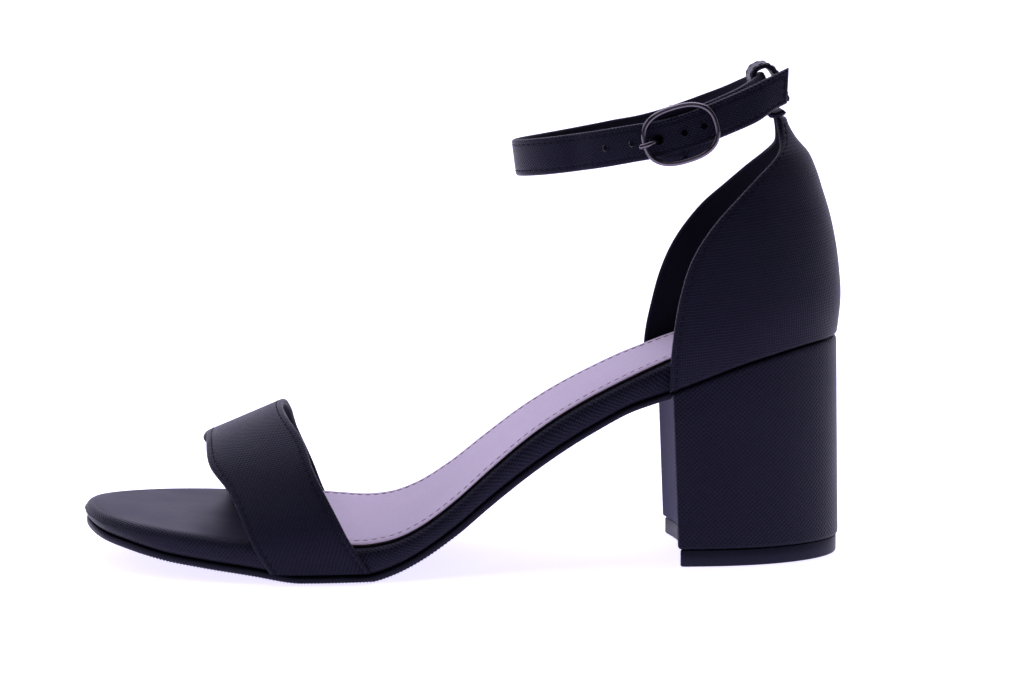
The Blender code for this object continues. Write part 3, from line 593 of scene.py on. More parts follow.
def stitches(name, path, normal, finish, pitch=STITCH_PITCH, length=STITCH_LENGTH,
             radius=THREAD_RADIUS):
    """Row of stitches along a path: each is a short thread, arched out of the leather.

    Along its own length t from -1 to 1 a thread's radius is a circle's arc and its middle rises
    by a parabola, and both are worked out for all stitches at once.
    """
    run = lengths_along(path)
    count = max(int(run[-1] / pitch), 1)
    where = (np.arange(count) + 0.5) * run[-1] / count
    centre = np.stack([np.interp(where, run, path[:, k]) for k in range(3)], -1)
    ahead = np.stack([np.interp(where + 0.3, run, path[:, k]) for k in range(3)], -1)
    behind = np.stack([np.interp(where - 0.3, run, path[:, k]) for k in range(3)], -1)
    along = unit(ahead - behind)
    out = np.stack([np.interp(where, run, normal[:, k]) for k in range(3)], -1)
    out = unit(out - along * np.sum(out * along, axis=1, keepdims=True))
    side = np.cross(along, out)
    t = np.linspace(-1, 1, 7)
    angle = np.arange(6) * np.pi / 3
    thick = radius * np.sqrt(np.clip(1 - t ** 4, 0.02, 1))
    rise = 0.9 * radius * (1 - t ** 2) - 0.35 * radius
    lift = rise[:, None] + thick[:, None] * np.sin(angle)
    swing = thick[:, None] * np.cos(angle)
    reach = np.broadcast_to(t[:, None] * length / 2, lift.shape)
    points = (centre[:, None, None] + reach[..., None] * along[:, None, None]
              + swing[..., None] * side[:, None, None] + lift[..., None] * out[:, None, None])
    index = np.arange(len(t) * 6).reshape(len(t), 6)
    turned = np.roll(index, -1, axis=1)
    body = np.stack([index[:-1], turned[:-1], turned[1:], index[1:]], -1).reshape(-1, 4)
    ends = np.array([[index[0, k] for k in (0, 5, 4, 3)], [index[0, k] for k in (0, 3, 2, 1)],
                     [index[-1, k] for k in (0, 1, 2, 3)], [index[-1, k] for k in (0, 3, 4, 5)]])
    template = np.concatenate([body, ends])
    faces = (template[None] + (np.arange(count) * index.size)[:, None, None]).reshape(-1, 4)
    mesh = bpy.data.meshes.new(name)
    mesh.from_pydata(points.reshape(-1, 3) * MM, [], faces.tolist())
    work = bmesh.new()
    work.from_mesh(mesh)
    bmesh.ops.recalc_face_normals(work, faces=work.faces)
    work.to_mesh(mesh)
    work.free()
    mesh.shade_smooth()
    mesh.materials.append(finish)
    return placed(name, mesh)


# Shader groups and finishes

def group(name, inputs, outputs):
    """A new shader node group with its named sockets."""
    made = bpy.data.node_groups.new(name, "ShaderNodeTree")
    for label, kind, value in inputs:
        socket = made.interface.new_socket(label, in_out="INPUT", socket_type=kind)
        if value is not None:
            socket.default_value = value
    for label, kind in outputs:
        made.interface.new_socket(label, in_out="OUTPUT", socket_type=kind)
    return made, made.nodes.new("NodeGroupInput"), made.nodes.new("NodeGroupOutput")


def joined(tree, kind, links, **values):
    """A new node with its settings and with sockets linked by name or number."""
    node = tree.nodes.new(kind)
    for label, value in values.items():
        setattr(node, label, value)
    for place, source in links.items():
        if isinstance(source, bpy.types.NodeSocket):
            tree.links.new(source, node.inputs[place])
        else:
            node.inputs[place].default_value = source
    return node


def arithmetic(tree, operation, *values):
    """Output of a Math node on sockets or numbers."""
    links = dict(enumerate(values))
    return joined(tree, "ShaderNodeMath", links, operation=operation).outputs[0]


def cross_grain_group():
    """Embossed cross-hatch: thin raised lines in two directions round small sunk squares.

    Across each direction the height is a high power of a cosine, and the higher of the two
    counts; a noise bends the lines and another one varies their height.
    """
    made, given, put = group("cross grain", [
        ("Vector", "NodeSocketVector", None),
        ("Pitch", "NodeSocketFloat", 0.9),
        ("Second Pitch", "NodeSocketFloat", 0.9),
        ("Turn", "NodeSocketFloat", 45.0),
        ("Wander", "NodeSocketFloat", 0.05),
    ], [("Height", "NodeSocketFloat"), ("Tone", "NodeSocketFloat")])
    noise = joined(made, "ShaderNodeTexNoise", {"Vector": given.outputs["Vector"], "Scale": 0.22,
                                                "Detail": 2.0})
    off = arithmetic(made, "MULTIPLY", arithmetic(made, "SUBTRACT", noise.outputs["Fac"], 0.5),
                     arithmetic(made, "MULTIPLY", given.outputs["Wander"], 14.0))
    angle = arithmetic(made, "RADIANS", given.outputs["Turn"])
    parts = joined(made, "ShaderNodeSeparateXYZ", {0: given.outputs["Vector"]})
    cosine, sine = arithmetic(made, "COSINE", angle), arithmetic(made, "SINE", angle)
    x, y = parts.outputs[0], parts.outputs[1]
    a = arithmetic(made, "ADD", arithmetic(made, "MULTIPLY", x, cosine),
                   arithmetic(made, "MULTIPLY", y, sine))
    b = arithmetic(made, "SUBTRACT", arithmetic(made, "MULTIPLY", y, cosine),
                   arithmetic(made, "MULTIPLY", x, sine))
    ridges = []
    for way, pitch in ((a, "Pitch"), (b, "Second Pitch")):
        turn = arithmetic(made, "DIVIDE", arithmetic(made, "ADD", way, off), given.outputs[pitch])
        wave = arithmetic(made, "COSINE", arithmetic(made, "MULTIPLY", turn, np.pi))
        ridges.append(arithmetic(made, "POWER", arithmetic(made, "ABSOLUTE", wave), 5.0))
    speck = joined(made, "ShaderNodeTexNoise", {"Vector": given.outputs["Vector"], "Scale": 1.4,
                                                "Detail": 2.0})
    height = arithmetic(made, "MAXIMUM", *ridges)
    patchy = arithmetic(made, "ADD", speck.outputs["Fac"], 0.5)
    varied = arithmetic(made, "MULTIPLY", height, patchy)
    broad = joined(made, "ShaderNodeTexNoise", {"Vector": given.outputs["Vector"], "Scale": 0.05,
                                                "Detail": 3.0})
    made.links.new(varied, put.inputs["Height"])
    made.links.new(broad.outputs["Fac"], put.inputs["Tone"])
    return made


def fine_grain_group():
    """Fine leather grain: small cells with soft borders, broken up by a noise."""
    made, given, put = group("fine grain", [
        ("Vector", "NodeSocketVector", None),
        ("Scale", "NodeSocketFloat", 1.6),
    ], [("Height", "NodeSocketFloat"), ("Tone", "NodeSocketFloat")])
    cells = joined(made, "ShaderNodeTexVoronoi", {"Vector": given.outputs["Vector"],
                                                  "Scale": given.outputs["Scale"]})
    noise = joined(made, "ShaderNodeTexNoise", {"Vector": given.outputs["Vector"], "Scale": 0.9,
                                                "Detail": 4.0})
    broad = joined(made, "ShaderNodeTexNoise", {"Vector": given.outputs["Vector"], "Scale": 0.06,
                                                "Detail": 3.0})
    height = arithmetic(made, "ADD", arithmetic(made, "MULTIPLY", cells.outputs["Distance"], 0.6),
                        noise.outputs["Fac"])
    made.links.new(height, put.inputs["Height"])
    made.links.new(broad.outputs["Fac"], put.inputs["Tone"])
    return made


CROSS_GRAIN = cross_grain_group()
FINE_GRAIN = fine_grain_group()


def finish_of(name, low, high, roughness, grain, bump, on_map=True, metallic=0.0, sheen=0.0,
              specular=0.2, **grain_values):
    """A finish: two colours mixed over the surface, with a grain that bumps and dulls it.

    grain is "cross" or "fine".  The pattern lies on the piece's own map in millimetres, or on
    Object coordinates where on_map is False.
    """
    made = bpy.data.materials.new(name)
    made.use_nodes = True
    tree = made.node_tree
    shader = tree.nodes["Principled BSDF"]
    shader.inputs["Metallic"].default_value = metallic
    shader.inputs["Sheen Weight"].default_value = sheen
    shader.inputs["Specular IOR Level"].default_value = specular
    if metallic == 0.0:
        shader.inputs["Specular Tint"].default_value = SHEEN_TINT
    if on_map:
        place = joined(tree, "ShaderNodeUVMap", {}, uv_map="pattern").outputs[0]
        scale = 1 / UV_MM
    else:
        place = joined(tree, "ShaderNodeTexCoord", {}).outputs["Object"]
        scale = 1 / MM
    sized = joined(tree, "ShaderNodeMapping", {"Vector": place, "Scale": (scale,) * 3})
    pattern = joined(tree, "ShaderNodeGroup", {})
    pattern.node_tree = CROSS_GRAIN if grain == "cross" else FINE_GRAIN
    tree.links.new(sized.outputs[0], pattern.inputs["Vector"])
    for label, value in grain_values.items():
        pattern.inputs[label.replace("_", " ").title()].default_value = value
    height, tone = pattern.outputs["Height"], pattern.outputs["Tone"]
    share = arithmetic(tree, "ADD", arithmetic(tree, "MULTIPLY", height, 0.6),
                       arithmetic(tree, "MULTIPLY", arithmetic(tree, "SUBTRACT", tone, 0.5), 0.5))
    ramp = joined(tree, "ShaderNodeMix", {0: share}, data_type="RGBA", clamp_factor=True)
    ramp.inputs[6].default_value = (*low, 1.0)
    ramp.inputs[7].default_value = (*high, 1.0)
    tree.links.new(ramp.outputs[2], shader.inputs["Base Color"])
    rough = arithmetic(tree, "ADD", roughness, arithmetic(
        tree, "MULTIPLY", arithmetic(tree, "SUBTRACT", tone, 0.5), 0.16))
    tree.links.new(rough, shader.inputs["Roughness"])
    relief = joined(tree, "ShaderNodeBump", {"Height": height, "Strength": 1.0,
                                             "Distance": bump * MM})
    tree.links.new(relief.outputs[0], shader.inputs["Normal"])
    return made


INK = (0.0012, 0.0012, 0.0035)
INK_HIGH = (0.014, 0.0125, 0.026)
SHEEN_TINT = (0.62, 0.60, 1.0, 1.0)
heel_wrap = finish_of("heel wrap", INK, INK_HIGH, 0.42, "cross", 0.12, pitch=0.95,
                      second_pitch=0.95, turn=45.0)
side_wrap = finish_of("platform wrap", INK, INK_HIGH, 0.40, "cross", 0.10, pitch=0.8,
                      second_pitch=0.95, turn=52.0)
# Painted top light: the toe's top is black fine-grained leather, but its colour is set several
# times lighter than the side wrap to stand in for the overhead light.
toe_top_painted_light = finish_of("toe top painted light", (0.011, 0.010, 0.022), (0.022, 0.020, 0.042), 0.46, "fine",
                     0.035, specular=0.14, scale=1.3)
vamp_grain = finish_of("vamp leather", INK, INK_HIGH, 0.42, "cross", 0.10, pitch=0.75,
                       second_pitch=0.85, turn=38.0)
counter_grain = finish_of("counter leather", INK, INK_HIGH, 0.44, "cross", 0.10, pitch=0.8,
                          second_pitch=0.85, turn=6.0)
strap_grain = finish_of("strap leather", INK, INK_HIGH, 0.40, "cross", 0.09, pitch=0.7,
                        second_pitch=0.8, turn=50.0)
lining = finish_of("black lining", (0.0030, 0.0028, 0.0042), (0.006, 0.0055, 0.008), 0.6, "fine",
                   0.02, scale=2.2)
# Painted sheen: the satin front is black, but its colour is set far lighter than the wrap, with its
# own shine turned down, for the light it catches from the left.
breast_painted_sheen = finish_of("breast cover painted sheen", (0.045, 0.042, 0.080), (0.060, 0.056, 0.105), 0.5,
                          "fine", 0.02, specular=0.02, scale=2.0)
sock_finish = finish_of("insole sock", (0.50, 0.40, 0.53), (0.64, 0.55, 0.70), 0.62, "fine",
                        0.03, scale=1.5, sheen=0.15)
sock_edge = finish_of("sock edge", (0.035, 0.026, 0.024), (0.075, 0.060, 0.055), 0.6, "fine",
                      0.03, scale=1.5)
outsole_finish = finish_of("outsole rubber", (0.004, 0.004, 0.007), (0.011, 0.011, 0.018), 0.45,
                           "fine", 0.03, scale=1.1)
top_piece_finish = finish_of("top piece rubber", (0.007, 0.007, 0.013), (0.015, 0.015, 0.025),
                             0.42, "fine", 0.02, scale=1.4)
metal = finish_of("dark nickel", (0.10, 0.088, 0.11), (0.17, 0.15, 0.18), 0.17, "fine", 0.004,
                  on_map=False, metallic=1.0, scale=0.8)
thread = finish_of("black thread", (0.0016, 0.0016, 0.003), (0.006, 0.006, 0.010), 0.6, "fine",
                   0.03, on_map=False, scale=5.0)
sock_thread = finish_of("taupe thread", (0.16, 0.12, 0.13), (0.26, 0.20, 0.22), 0.7, "fine",
                        0.03, on_map=False, scale=5.0)


# Sole pieces

SOLE_ACROSS = 36
SOLE_STATIONS = (-125.0, -95.0, 1.0, 1.5)


def over(surface, rise):
    """Height of a surface with a rise added to it."""
    return lambda x, y: surface(x, y) + rise


def stations(dense_front, dense_back, fine, coarse):
    """Stations along the foot: coarse steps with a stretch of fine ones."""
    parts = [np.arange(TOE_ROW_X, dense_front, coarse), np.arange(dense_front, dense_back, fine),
             np.arange(dense_back, HEEL_ROW_X, coarse)]
    return np.concatenate(parts)


def make_platform():
    loop, along = sole_loop(four_sides(platform_plan(), TOE_ROW_X, HEEL_ROW_X), SOLE_ACROSS,
                            stations(*SOLE_STATIONS))
    layers = (
        (2.2, belly),
        (1.2, over(belly, 0.15)),
        (0.6, over(belly, 0.5)),
        (0.15, over(belly, 1.1)),
        (0.0, over(belly, 1.9)),
        (-0.1, lambda x, y: (belly(x, y) + bed(x, y)) / 2),
        (0.0, over(bed, -2.4)),
        (0.25, over(bed, -1.5)),
        (0.8, over(bed, -0.7)),
        (1.6, over(bed, -0.22)),
        (2.6, bed),
    )
    # The top cap takes the toe's finish, with its painted overhead light.
    patches = slab(loop, SOLE_ACROSS, along, layers, top=1)
    return closed_mesh("platform_wrap", patches, [side_wrap, toe_top_painted_light], ["platform"])


def breast_x(y, front):
    """Station of the heel's hollow front face: a parabola across."""
    share = np.clip(np.abs(y) / HEEL_HALF_WIDTH, 0, 1)
    return front + BREAST_HOLLOW * (1 - share ** 2)


def make_outsole():
    outline = inset_loop(platform_plan(), OUTSOLE_INSET)
    front, outer, _, inner = four_sides(outline, TOE_ROW_X, OUTSOLE_END_X)
    y = np.linspace(outer[-2, 1], inner[1, 1], 41)
    end = np.stack([breast_x(y, BREAST_TOP_X - HEEL_JOINT), y], -1)
    outer = np.concatenate([outer[:-1], end[:1]])
    inner = np.concatenate([end[-1:], inner[1:]])
    loop, along = sole_loop((front, outer, end, inner), SOLE_ACROSS,
                            stations(TREAD_FRONT_X, TREAD_BACK_X, TREAD_PITCH / 4, 2.0))
    layers = (
        (1.0, tread),
        (0.35, over(tread, 0.08)),
        (0.05, over(tread, 0.35)),
        (0.0, over(ground, 0.9)),
        (0.0, over(under, -0.6)),
        (0.2, over(under, -0.2)),
        (0.6, under),
    )
    patches = slab(loop, SOLE_ACROSS, along, layers)
    return closed_mesh("outsole_ribbed", patches, [outsole_finish], ["outsole"])


def make_insole():
    outline = inset_loop(platform_plan(), INSOLE_INSET)
    seat = smoothstep((outline[:, 0] + 40.0) / 20.0)[:, None]
    outline = outline + seat * (inset_loop(outline, INSOLE_BACK_INSET - INSOLE_INSET) - outline)
    _, outer, back, inner = four_sides(outline, INSOLE_FRONT_X, HEEL_ROW_X - 3.0)
    y = np.linspace(inner[-2, 1], outer[1, 1], 41)
    start = np.stack([np.full(len(y), INSOLE_FRONT_X), y], -1)
    outer = np.concatenate([start[-1:], outer[1:]])
    inner = np.concatenate([inner[:-1], start[:1]])
    loop, along = sole_loop((start, outer, back, inner), SOLE_ACROSS, stations(*SOLE_STATIONS))
    steps = (
        (2.6, GAP),
        (1.7, GAP + 0.1),
        (1.3, GAP + 0.45),
        (1.3, INSOLE_THICK - 0.5),
        (1.5, INSOLE_THICK - 0.2),
        (1.9, INSOLE_THICK - 0.02),
        (2.6, INSOLE_THICK + 0.1),
        (3.5, INSOLE_THICK + 0.08),
        (3.9, INSOLE_THICK - 0.1),
        (SOCK_SEAM_IN, INSOLE_THICK - 0.16),
        (4.7, INSOLE_THICK - 0.1),
        (5.2, INSOLE_THICK + 0.05),
        (7.0, INSOLE_THICK + 0.1),
    )
    patches = slab(loop, SOLE_ACROSS, along, [(inset, over(bed, rise)) for inset, rise in steps])
    walls, flat, _ = patches[0]
    rim = SOCK_RIM_ROWS
    patches[:1] = [(walls[:rim + 1], flat[:rim + 1], 1), (walls[rim:], flat[rim:], 0)]
    made = closed_mesh("insole_sock", patches, [sock_finish, sock_edge], ["insole"])
    seam = inset_loop(loop, SOCK_SEAM_IN)
    seam = np.concatenate([seam, seam[:1]])
    path = np.column_stack([seam, bed(seam[:, 0], seam[:, 1]) + INSOLE_THICK - 0.12])
    up = np.tile([0.0, 0.0, 1.0], (len(path), 1))
    stitches("insole_stitches", path, up, sock_thread, pitch=2.6, length=1.9)
    return made


# Heel pieces

HEEL_ACROSS = 28
HEEL_ALONG = 34


def corner(start, bend, end, count=7):
    """Round corner: a parabola from start to end, drawn towards the bend between them."""
    t = np.linspace(0, 1, count)[:, None]
    return (1 - t) ** 2 * start + 2 * t * (1 - t) * bend + t * t * end


def heel_outline(share, inset):
    """Four stretches of the heel's outline, from its foot (share 0) to its top (share 1)."""
    back = HEEL_BACK_LOW + (HEEL_BACK_TOP - HEEL_BACK_LOW) * share - inset
    half = HEEL_HALF_WIDTH_LOW + (HEEL_HALF_WIDTH - HEEL_HALF_WIDTH_LOW) * share - inset
    front = BREAST_LOW_X + (BREAST_TOP_X - BREAST_LOW_X) * share + inset
    y = np.linspace(half - HEEL_CORNER, HEEL_CORNER - half, 25)
    breast = np.stack([breast_x(y, front), y], -1)
    angle = np.linspace(np.pi / 2, 0, 60)
    reach = back - HEEL_WIDEST_X
    x = HEEL_WIDEST_X + reach * np.cos(angle) ** (2 / HEEL_POWER)
    side = np.stack([x, -half * np.sin(angle) ** (2 / HEEL_POWER)], -1)
    bend = np.array([breast_x(half, front), -half])
    leave = bend + (HEEL_CORNER, 0.0)
    outer = np.concatenate([corner(breast[-1], bend, leave), side[side[:, 0] < HEEL_ROUND_X]])
    behind = side[side[:, 0] >= HEEL_ROUND_X]
    behind = np.concatenate([outer[-1:], behind, behind[:-1][::-1] * (1, -1), outer[-1:] * (1, -1)])
    return breast, outer, behind, outer[::-1] * (1, -1)


def heel_loop(share, inset):
    """Closed outline of the heel with its points laid out evenly on its four stretches."""
    breast, outer, behind, _ = heel_outline(share, inset)
    round_part = corner_steps(outer, HEEL_ALONG)
    other = round_part[::-1] * (1, -1)
    parts = (even(breast, HEEL_ACROSS), round_part, even(behind, HEEL_ACROSS), other)
    return np.concatenate([part[:-1] for part in parts])


def corner_steps(side, count):
    """Points along the heel's side, the first third of them on its corner."""
    length = lengths_along(side)
    share = np.linspace(0, 1, count + 1)
    knee = 1.7 * HEEL_CORNER
    where = np.interp(share, (0.0, 0.3, 1.0), (0.0, knee, length[-1]))
    return np.stack([np.interp(where, length, side[:, k]) for k in range(2)], -1)


def block(rings, floor, roof):
    """Patches of a closed block: walls through the rings, and a cap at either end.

    The walls' map runs along the lowest ring and up; floor and roof give the caps' heights.
    """
    walls = np.array([np.concatenate([ring, ring[:1]]) for ring in rings])
    run = lengths_along(walls[0, :, :2])
    patches = [(walls, np.dstack([np.tile(run, (len(walls), 1)), walls[..., 2]]), 0)]
    for ring, height in ((rings[0], floor), (rings[-1], roof)):
        grid = filled(ring[:, :2], HEEL_ACROSS, HEEL_ALONG, 1.0, 1)
        z = np.broadcast_to(height(grid[..., 0], grid[..., 1]), grid.shape[:2])
        patches.append((np.dstack([grid, z]), grid, 0))
    return patches


def make_heel():
    base = TOP_PIECE_HEIGHT + GAP
    steps = ((0.0, 0.7), (0.003, 0.3), (0.010, 0.05), (0.02, 0.0), (0.25, 0.0), (0.5, 0.0),
             (0.75, 0.0), (0.97, 0.0), (0.985, 0.1), (0.995, 0.35), (1.0, 0.8))
    rings = []
    for share, inset in steps:
        ring = heel_loop(share, inset)
        z = base + share * (under(ring[:, 0], ring[:, 1]) - base)
        rings.append(np.column_stack([ring, z]))
    patches = block(rings, lambda x, y: base, under)
    return closed_mesh("heel_wrap", patches, [heel_wrap], ["heel_block"])


def make_breast_cover():
    """Thin satin cover on the heel's hollow front, set in from the wrap's lips. Its colour is a
    painted sheen, far lighter than the black wrap.
    """
    share = np.linspace(0.012, 0.985, 40)[:, None]
    half = HEEL_HALF_WIDTH_LOW + (HEEL_HALF_WIDTH - HEEL_HALF_WIDTH_LOW) * share - BREAST_LIP
    across = np.sin(np.linspace(-1, 1, 41) * np.pi / 2)[None, :]
    y = half * across
    front = BREAST_LOW_X + (BREAST_TOP_X - BREAST_LOW_X) * share
    edge = half * (1 - np.abs(across))
    lift = BREAST_COVER * arc_over(edge, BREAST_ROUND) / BREAST_ROUND
    base = TOP_PIECE_HEIGHT + GAP
    x = breast_x(y, front)
    z = base + share * (under(x, y) - base)
    face = np.dstack([x - lift - 0.02, y, z])
    back = np.dstack([x + 0.2, y, z])
    flat = np.dstack([y, z])
    patches = [(face, flat, 0), (back, flat, 0)]
    for row in (np.s_[0], np.s_[-1], np.s_[:, 0], np.s_[:, -1]):
        patches.append((np.stack([face[row], back[row]]), np.stack([flat[row], flat[row]]), 0))
    return closed_mesh("breast_cover", patches, [breast_painted_sheen])


def make_top_piece():
    steps = ((0.5, 0.0), (0.15, 0.12), (0.0, 0.5), (0.0, TOP_PIECE_HEIGHT - 0.25),
             (0.2, TOP_PIECE_HEIGHT))
    rings = []
    for inset, z in steps:
        ring = heel_loop(0.0, TOP_PIECE_INSET + inset)
        rings.append(np.column_stack([ring, np.full(len(ring), z)]))
    patches = block(rings, lambda x, y: 0.0, lambda x, y: TOP_PIECE_HEIGHT)
    return closed_mesh("top_piece", patches, [top_piece_finish],
                       ["heel_top_piece"])


# Uppers

def vamp_middle(around, edge):
    """Middle face of the vamp strap on a grid: distance from its front edge by way round.

    Over the foot it is half a superellipse about the crown; the front and back edges come from
    the table by height, the inner side set forward.  Below the base the sides run straight down.
    """
    angle = np.linspace(0, np.pi, around + 1)[None, :]
    share = (edge / VAMP_WIDTH)[:, None]
    out = VAMP_WALL / 2
    crown = VAMP_CROWN_FRONT + (VAMP_CROWN_BACK - VAMP_CROWN_FRONT) * share - VAMP_WALL + out
    swing = superellipse(angle, VAMP_POWER)[0]
    y = VAMP_CROWN_Y - VAMP_HALF_WIDTH * swing
    y = np.broadcast_to(y, (len(edge), around + 1))
    z = VAMP_BASE_Z + (crown - VAMP_BASE_Z) * np.sin(angle).clip(0) ** (2 / VAMP_POWER)
    rows = 5
    legs = np.linspace(VAMP_HEM_Z, VAMP_BASE_Z, rows + 1)[:-1]
    legs = np.broadcast_to(legs, (len(edge), rows))
    z = np.concatenate([legs, z, legs[:, ::-1]], axis=1)
    y = np.pad(y, ((0, 0), (rows, rows)), mode="edge")
    lift = (z - VAMP_HEM_Z) / (crown - VAMP_HEM_Z)
    front, back = VAMP_EDGES.at("front", lift), VAMP_EDGES.at("back", lift)
    inner_side = smoothstep((y - VAMP_CROWN_Y - VAMP_INNER_START) / VAMP_INNER_EASE)
    forward = (VAMP_INNER_FORWARD + VAMP_INNER_FOOT_FORWARD * (1 - lift)) * inner_side
    x = front + (back - front) * share - forward
    outer_half = PLAN.at("outer", x) + VAMP_CLEAR + out + VAMP_CROWN_Y
    inner_half = PLAN.at("inner", x) + VAMP_CLEAR + out - VAMP_CROWN_Y
    half = np.where(y < VAMP_CROWN_Y, outer_half, inner_half)
    return np.dstack([x, VAMP_CROWN_Y + (y - VAMP_CROWN_Y) / VAMP_HALF_WIDTH * half, z])


def make_vamp():
    edge = edge_steps(VAMP_WIDTH)
    grid = vamp_middle(110, edge)
    normal = facing(grid, np.array(VAMP_INSIDE))
    near = np.minimum(edge, VAMP_WIDTH - edge)[:, None]
    near = np.broadcast_to(near, grid.shape[:2])
    face, back = wall_faces(grid, normal, near, VAMP_WALL / 2, trough(near, SEAM_IN))
    flat = strip_map(lengths_along(grid[len(grid) // 2]), edge)
    patches = [(face, flat, 0), (back, flat, 1)]
    for end in (0, -1):
        patches.append((np.stack([face[:, end], back[:, end]]), np.stack([flat[:, end]] * 2), 0))
    made = closed_mesh("vamp_leather", patches, [vamp_grain, lining], ["vamp_strap"])
    for label, row in (("front", np.argmin(np.abs(edge - SEAM_IN))),
                       ("back", np.argmin(np.abs(edge - VAMP_WIDTH + SEAM_IN)))):
        stitches(f"vamp_{label}_stitches", face[row], normal[row], thread)
    return made


def counter_curves(levels):
    """Plan curve of the counter at each level, all levels at once, outer side first.

    It runs straight from one front edge, round the heel as a superellipse and straight to the
    other.  A front edge's place and its height depend on each other and are settled in turns.
    """
    seam = belly(SEAT_BACK_X, 0.0)
    slant = (COUNTER_TOP_Z - levels) / (COUNTER_TOP_Z - seam)
    back, half = COUNTER_BACK.at("x", levels), COUNTER_BACK.at("half", levels)
    widest = np.minimum(ROUND_START, back - ROUND_LEAST)
    halves = []
    for side, sign in (("outer", -1), ("inner", 1)):
        x = np.full(len(levels), -10.0)
        for _ in range(12):
            z = levels + slant * (belly(x, half) - seam)
            x = COUNTER_FRONT.at(side, z)
        joint = np.maximum(x, widest)
        cosine = np.clip((joint - widest) / (back - widest), 0, 1) ** (HEEL_POWER / 2)
        angle = np.arccos(cosine)[:, None] * np.linspace(1, 0, 120)[None, :]
        round_x = widest[:, None] + (back - widest)[:, None] * np.cos(angle) ** (2 / HEEL_POWER)
        round_y = half[:, None] * np.sin(angle) ** (2 / HEEL_POWER)
        straight = x[:, None] + (joint - x)[:, None] * np.linspace(0, 1, 20)[None, :-1]
        start_y = np.repeat(round_y[:, :1], 19, 1)
        plan_x = np.concatenate([straight, round_x], axis=1)
        plan_y = np.concatenate([start_y, round_y], axis=1) * sign
        halves.append(np.dstack([plan_x, plan_y]))
    return np.concatenate([halves[0], halves[1][:, :-1][:, ::-1]], axis=1), slant, seam


def make_counter():
    drop = edge_steps(COUNTER_TOP_Z - belly(SEAT_BACK_X, 0.0))
    levels = (COUNTER_TOP_Z - drop)[::-1]
    curves, slant, seam = counter_curves(levels)
    plan, near = [], []
    for curve in curves:
        run = lengths_along(curve)
        where = edge_steps(run[-1], count=70)
        plan.append(np.stack([np.interp(where, run, curve[:, k]) for k in (0, 1)], -1))
        near.append(np.minimum(where, run[-1] - where))
    plan, near = np.array(plan), np.array(near)
    z = levels[:, None] + slant[:, None] * (belly(plan[..., 0], plan[..., 1]) - seam)
    outer = np.dstack([plan, z])
    normal = facing(outer, np.array(COUNTER_INSIDE))
    grid = outer - normal * WALL / 2
    top_edge = np.broadcast_to((levels[-1] - levels)[:, None], near.shape)
    foot_edge = np.broadcast_to((levels - levels[0])[:, None], near.shape)
    rim = np.minimum(near, top_edge)
    edge = np.minimum(rim, np.maximum(foot_edge, 0.0))
    run = np.array([lengths_along(row) for row in outer[..., :2]])
    flat = np.dstack([run - run[:, -1:] / 2, outer[..., 2]])
    face, back = wall_faces(grid, normal, edge, WALL / 2, trough(rim, SEAM_IN))
    made = closed_mesh("counter_leather", [(face, flat, 0), (back, flat, 1)],
                       [counter_grain, lining], ["heel_counter"])
    column = EDGE_STEPS.index(SEAM_IN)
    row = int(np.argmin(np.abs(drop[::-1] - SEAM_IN)))
    path, out = (np.concatenate([side[:row, column], side[row, column:-column - 1],
                                 side[:row, -column - 1][::-1]]) for side in (face, normal))
    stitches("counter_stitches", path, out, thread)
    return made


# Ankle strap

def ring_place(angle):
    """Plan place on the strap's oval: angle 0 at the back, a quarter turn at the inner side."""
    return np.stack([RING_MIDDLE_X + RING_HALF_LENGTH * np.cos(angle),
                     RING_HALF_WIDTH * np.sin(angle)], -1)


def strap_height(x, y):
    return STRAP_RISE.at("z", x) - RING_SIDE_RISE * y


def bar_place():
    """Plan place of the buckle's bar, between the strap's two layers."""
    share = (BUCKLE_X - RING_MIDDLE_X) / RING_HALF_LENGTH
    ring_y = -RING_HALF_WIDTH * np.sqrt(1 - share ** 2)
    return np.array([BUCKLE_X, ring_y - STRAP_THICK / 2 - GAP - BAR_RADIUS])


def strap_route():
    """Plan points of the strap from its folded end at the bar to its free tip, with thickness."""
    bar = bar_place()
    outside = BAR_RADIUS + GAP + STRAP_TAIL_THICK / 2
    inside = BAR_RADIUS + GAP + STRAP_THICK / 2
    tail = bar + np.array([(TAIL_LENGTH, 0.3), (5.0, -0.6), (2.0, 0.1 - outside)])
    turn = np.radians(np.array([-90.0, -125.0, -160.0, -200.0, -235.0]))
    reach = np.linspace(outside, inside, len(turn))
    fold = bar + reach[:, None] * np.stack([np.cos(turn), np.sin(turn)], -1)
    start = -np.arccos((BUCKLE_X - RING_MIDDLE_X) / RING_HALF_LENGTH)
    leave = 2 * np.pi - np.arccos((FREE_START_X - 6.0 - RING_MIDDLE_X) / RING_HALF_LENGTH)
    ring = ring_place(np.linspace(start, leave, 50))
    x = np.linspace(FREE_START_X, TIP_X, 17)
    free = np.stack([x, FREE_END.at("y", x)], -1)
    route = np.concatenate([tail, fold, ring, free])
    thick = np.full(len(route), STRAP_THICK)
    thick[:len(tail)] = STRAP_TAIL_THICK
    thick[len(tail):len(tail) + len(fold)] = np.linspace(STRAP_TAIL_THICK, STRAP_THICK, len(fold))
    return route, thick, len(free)


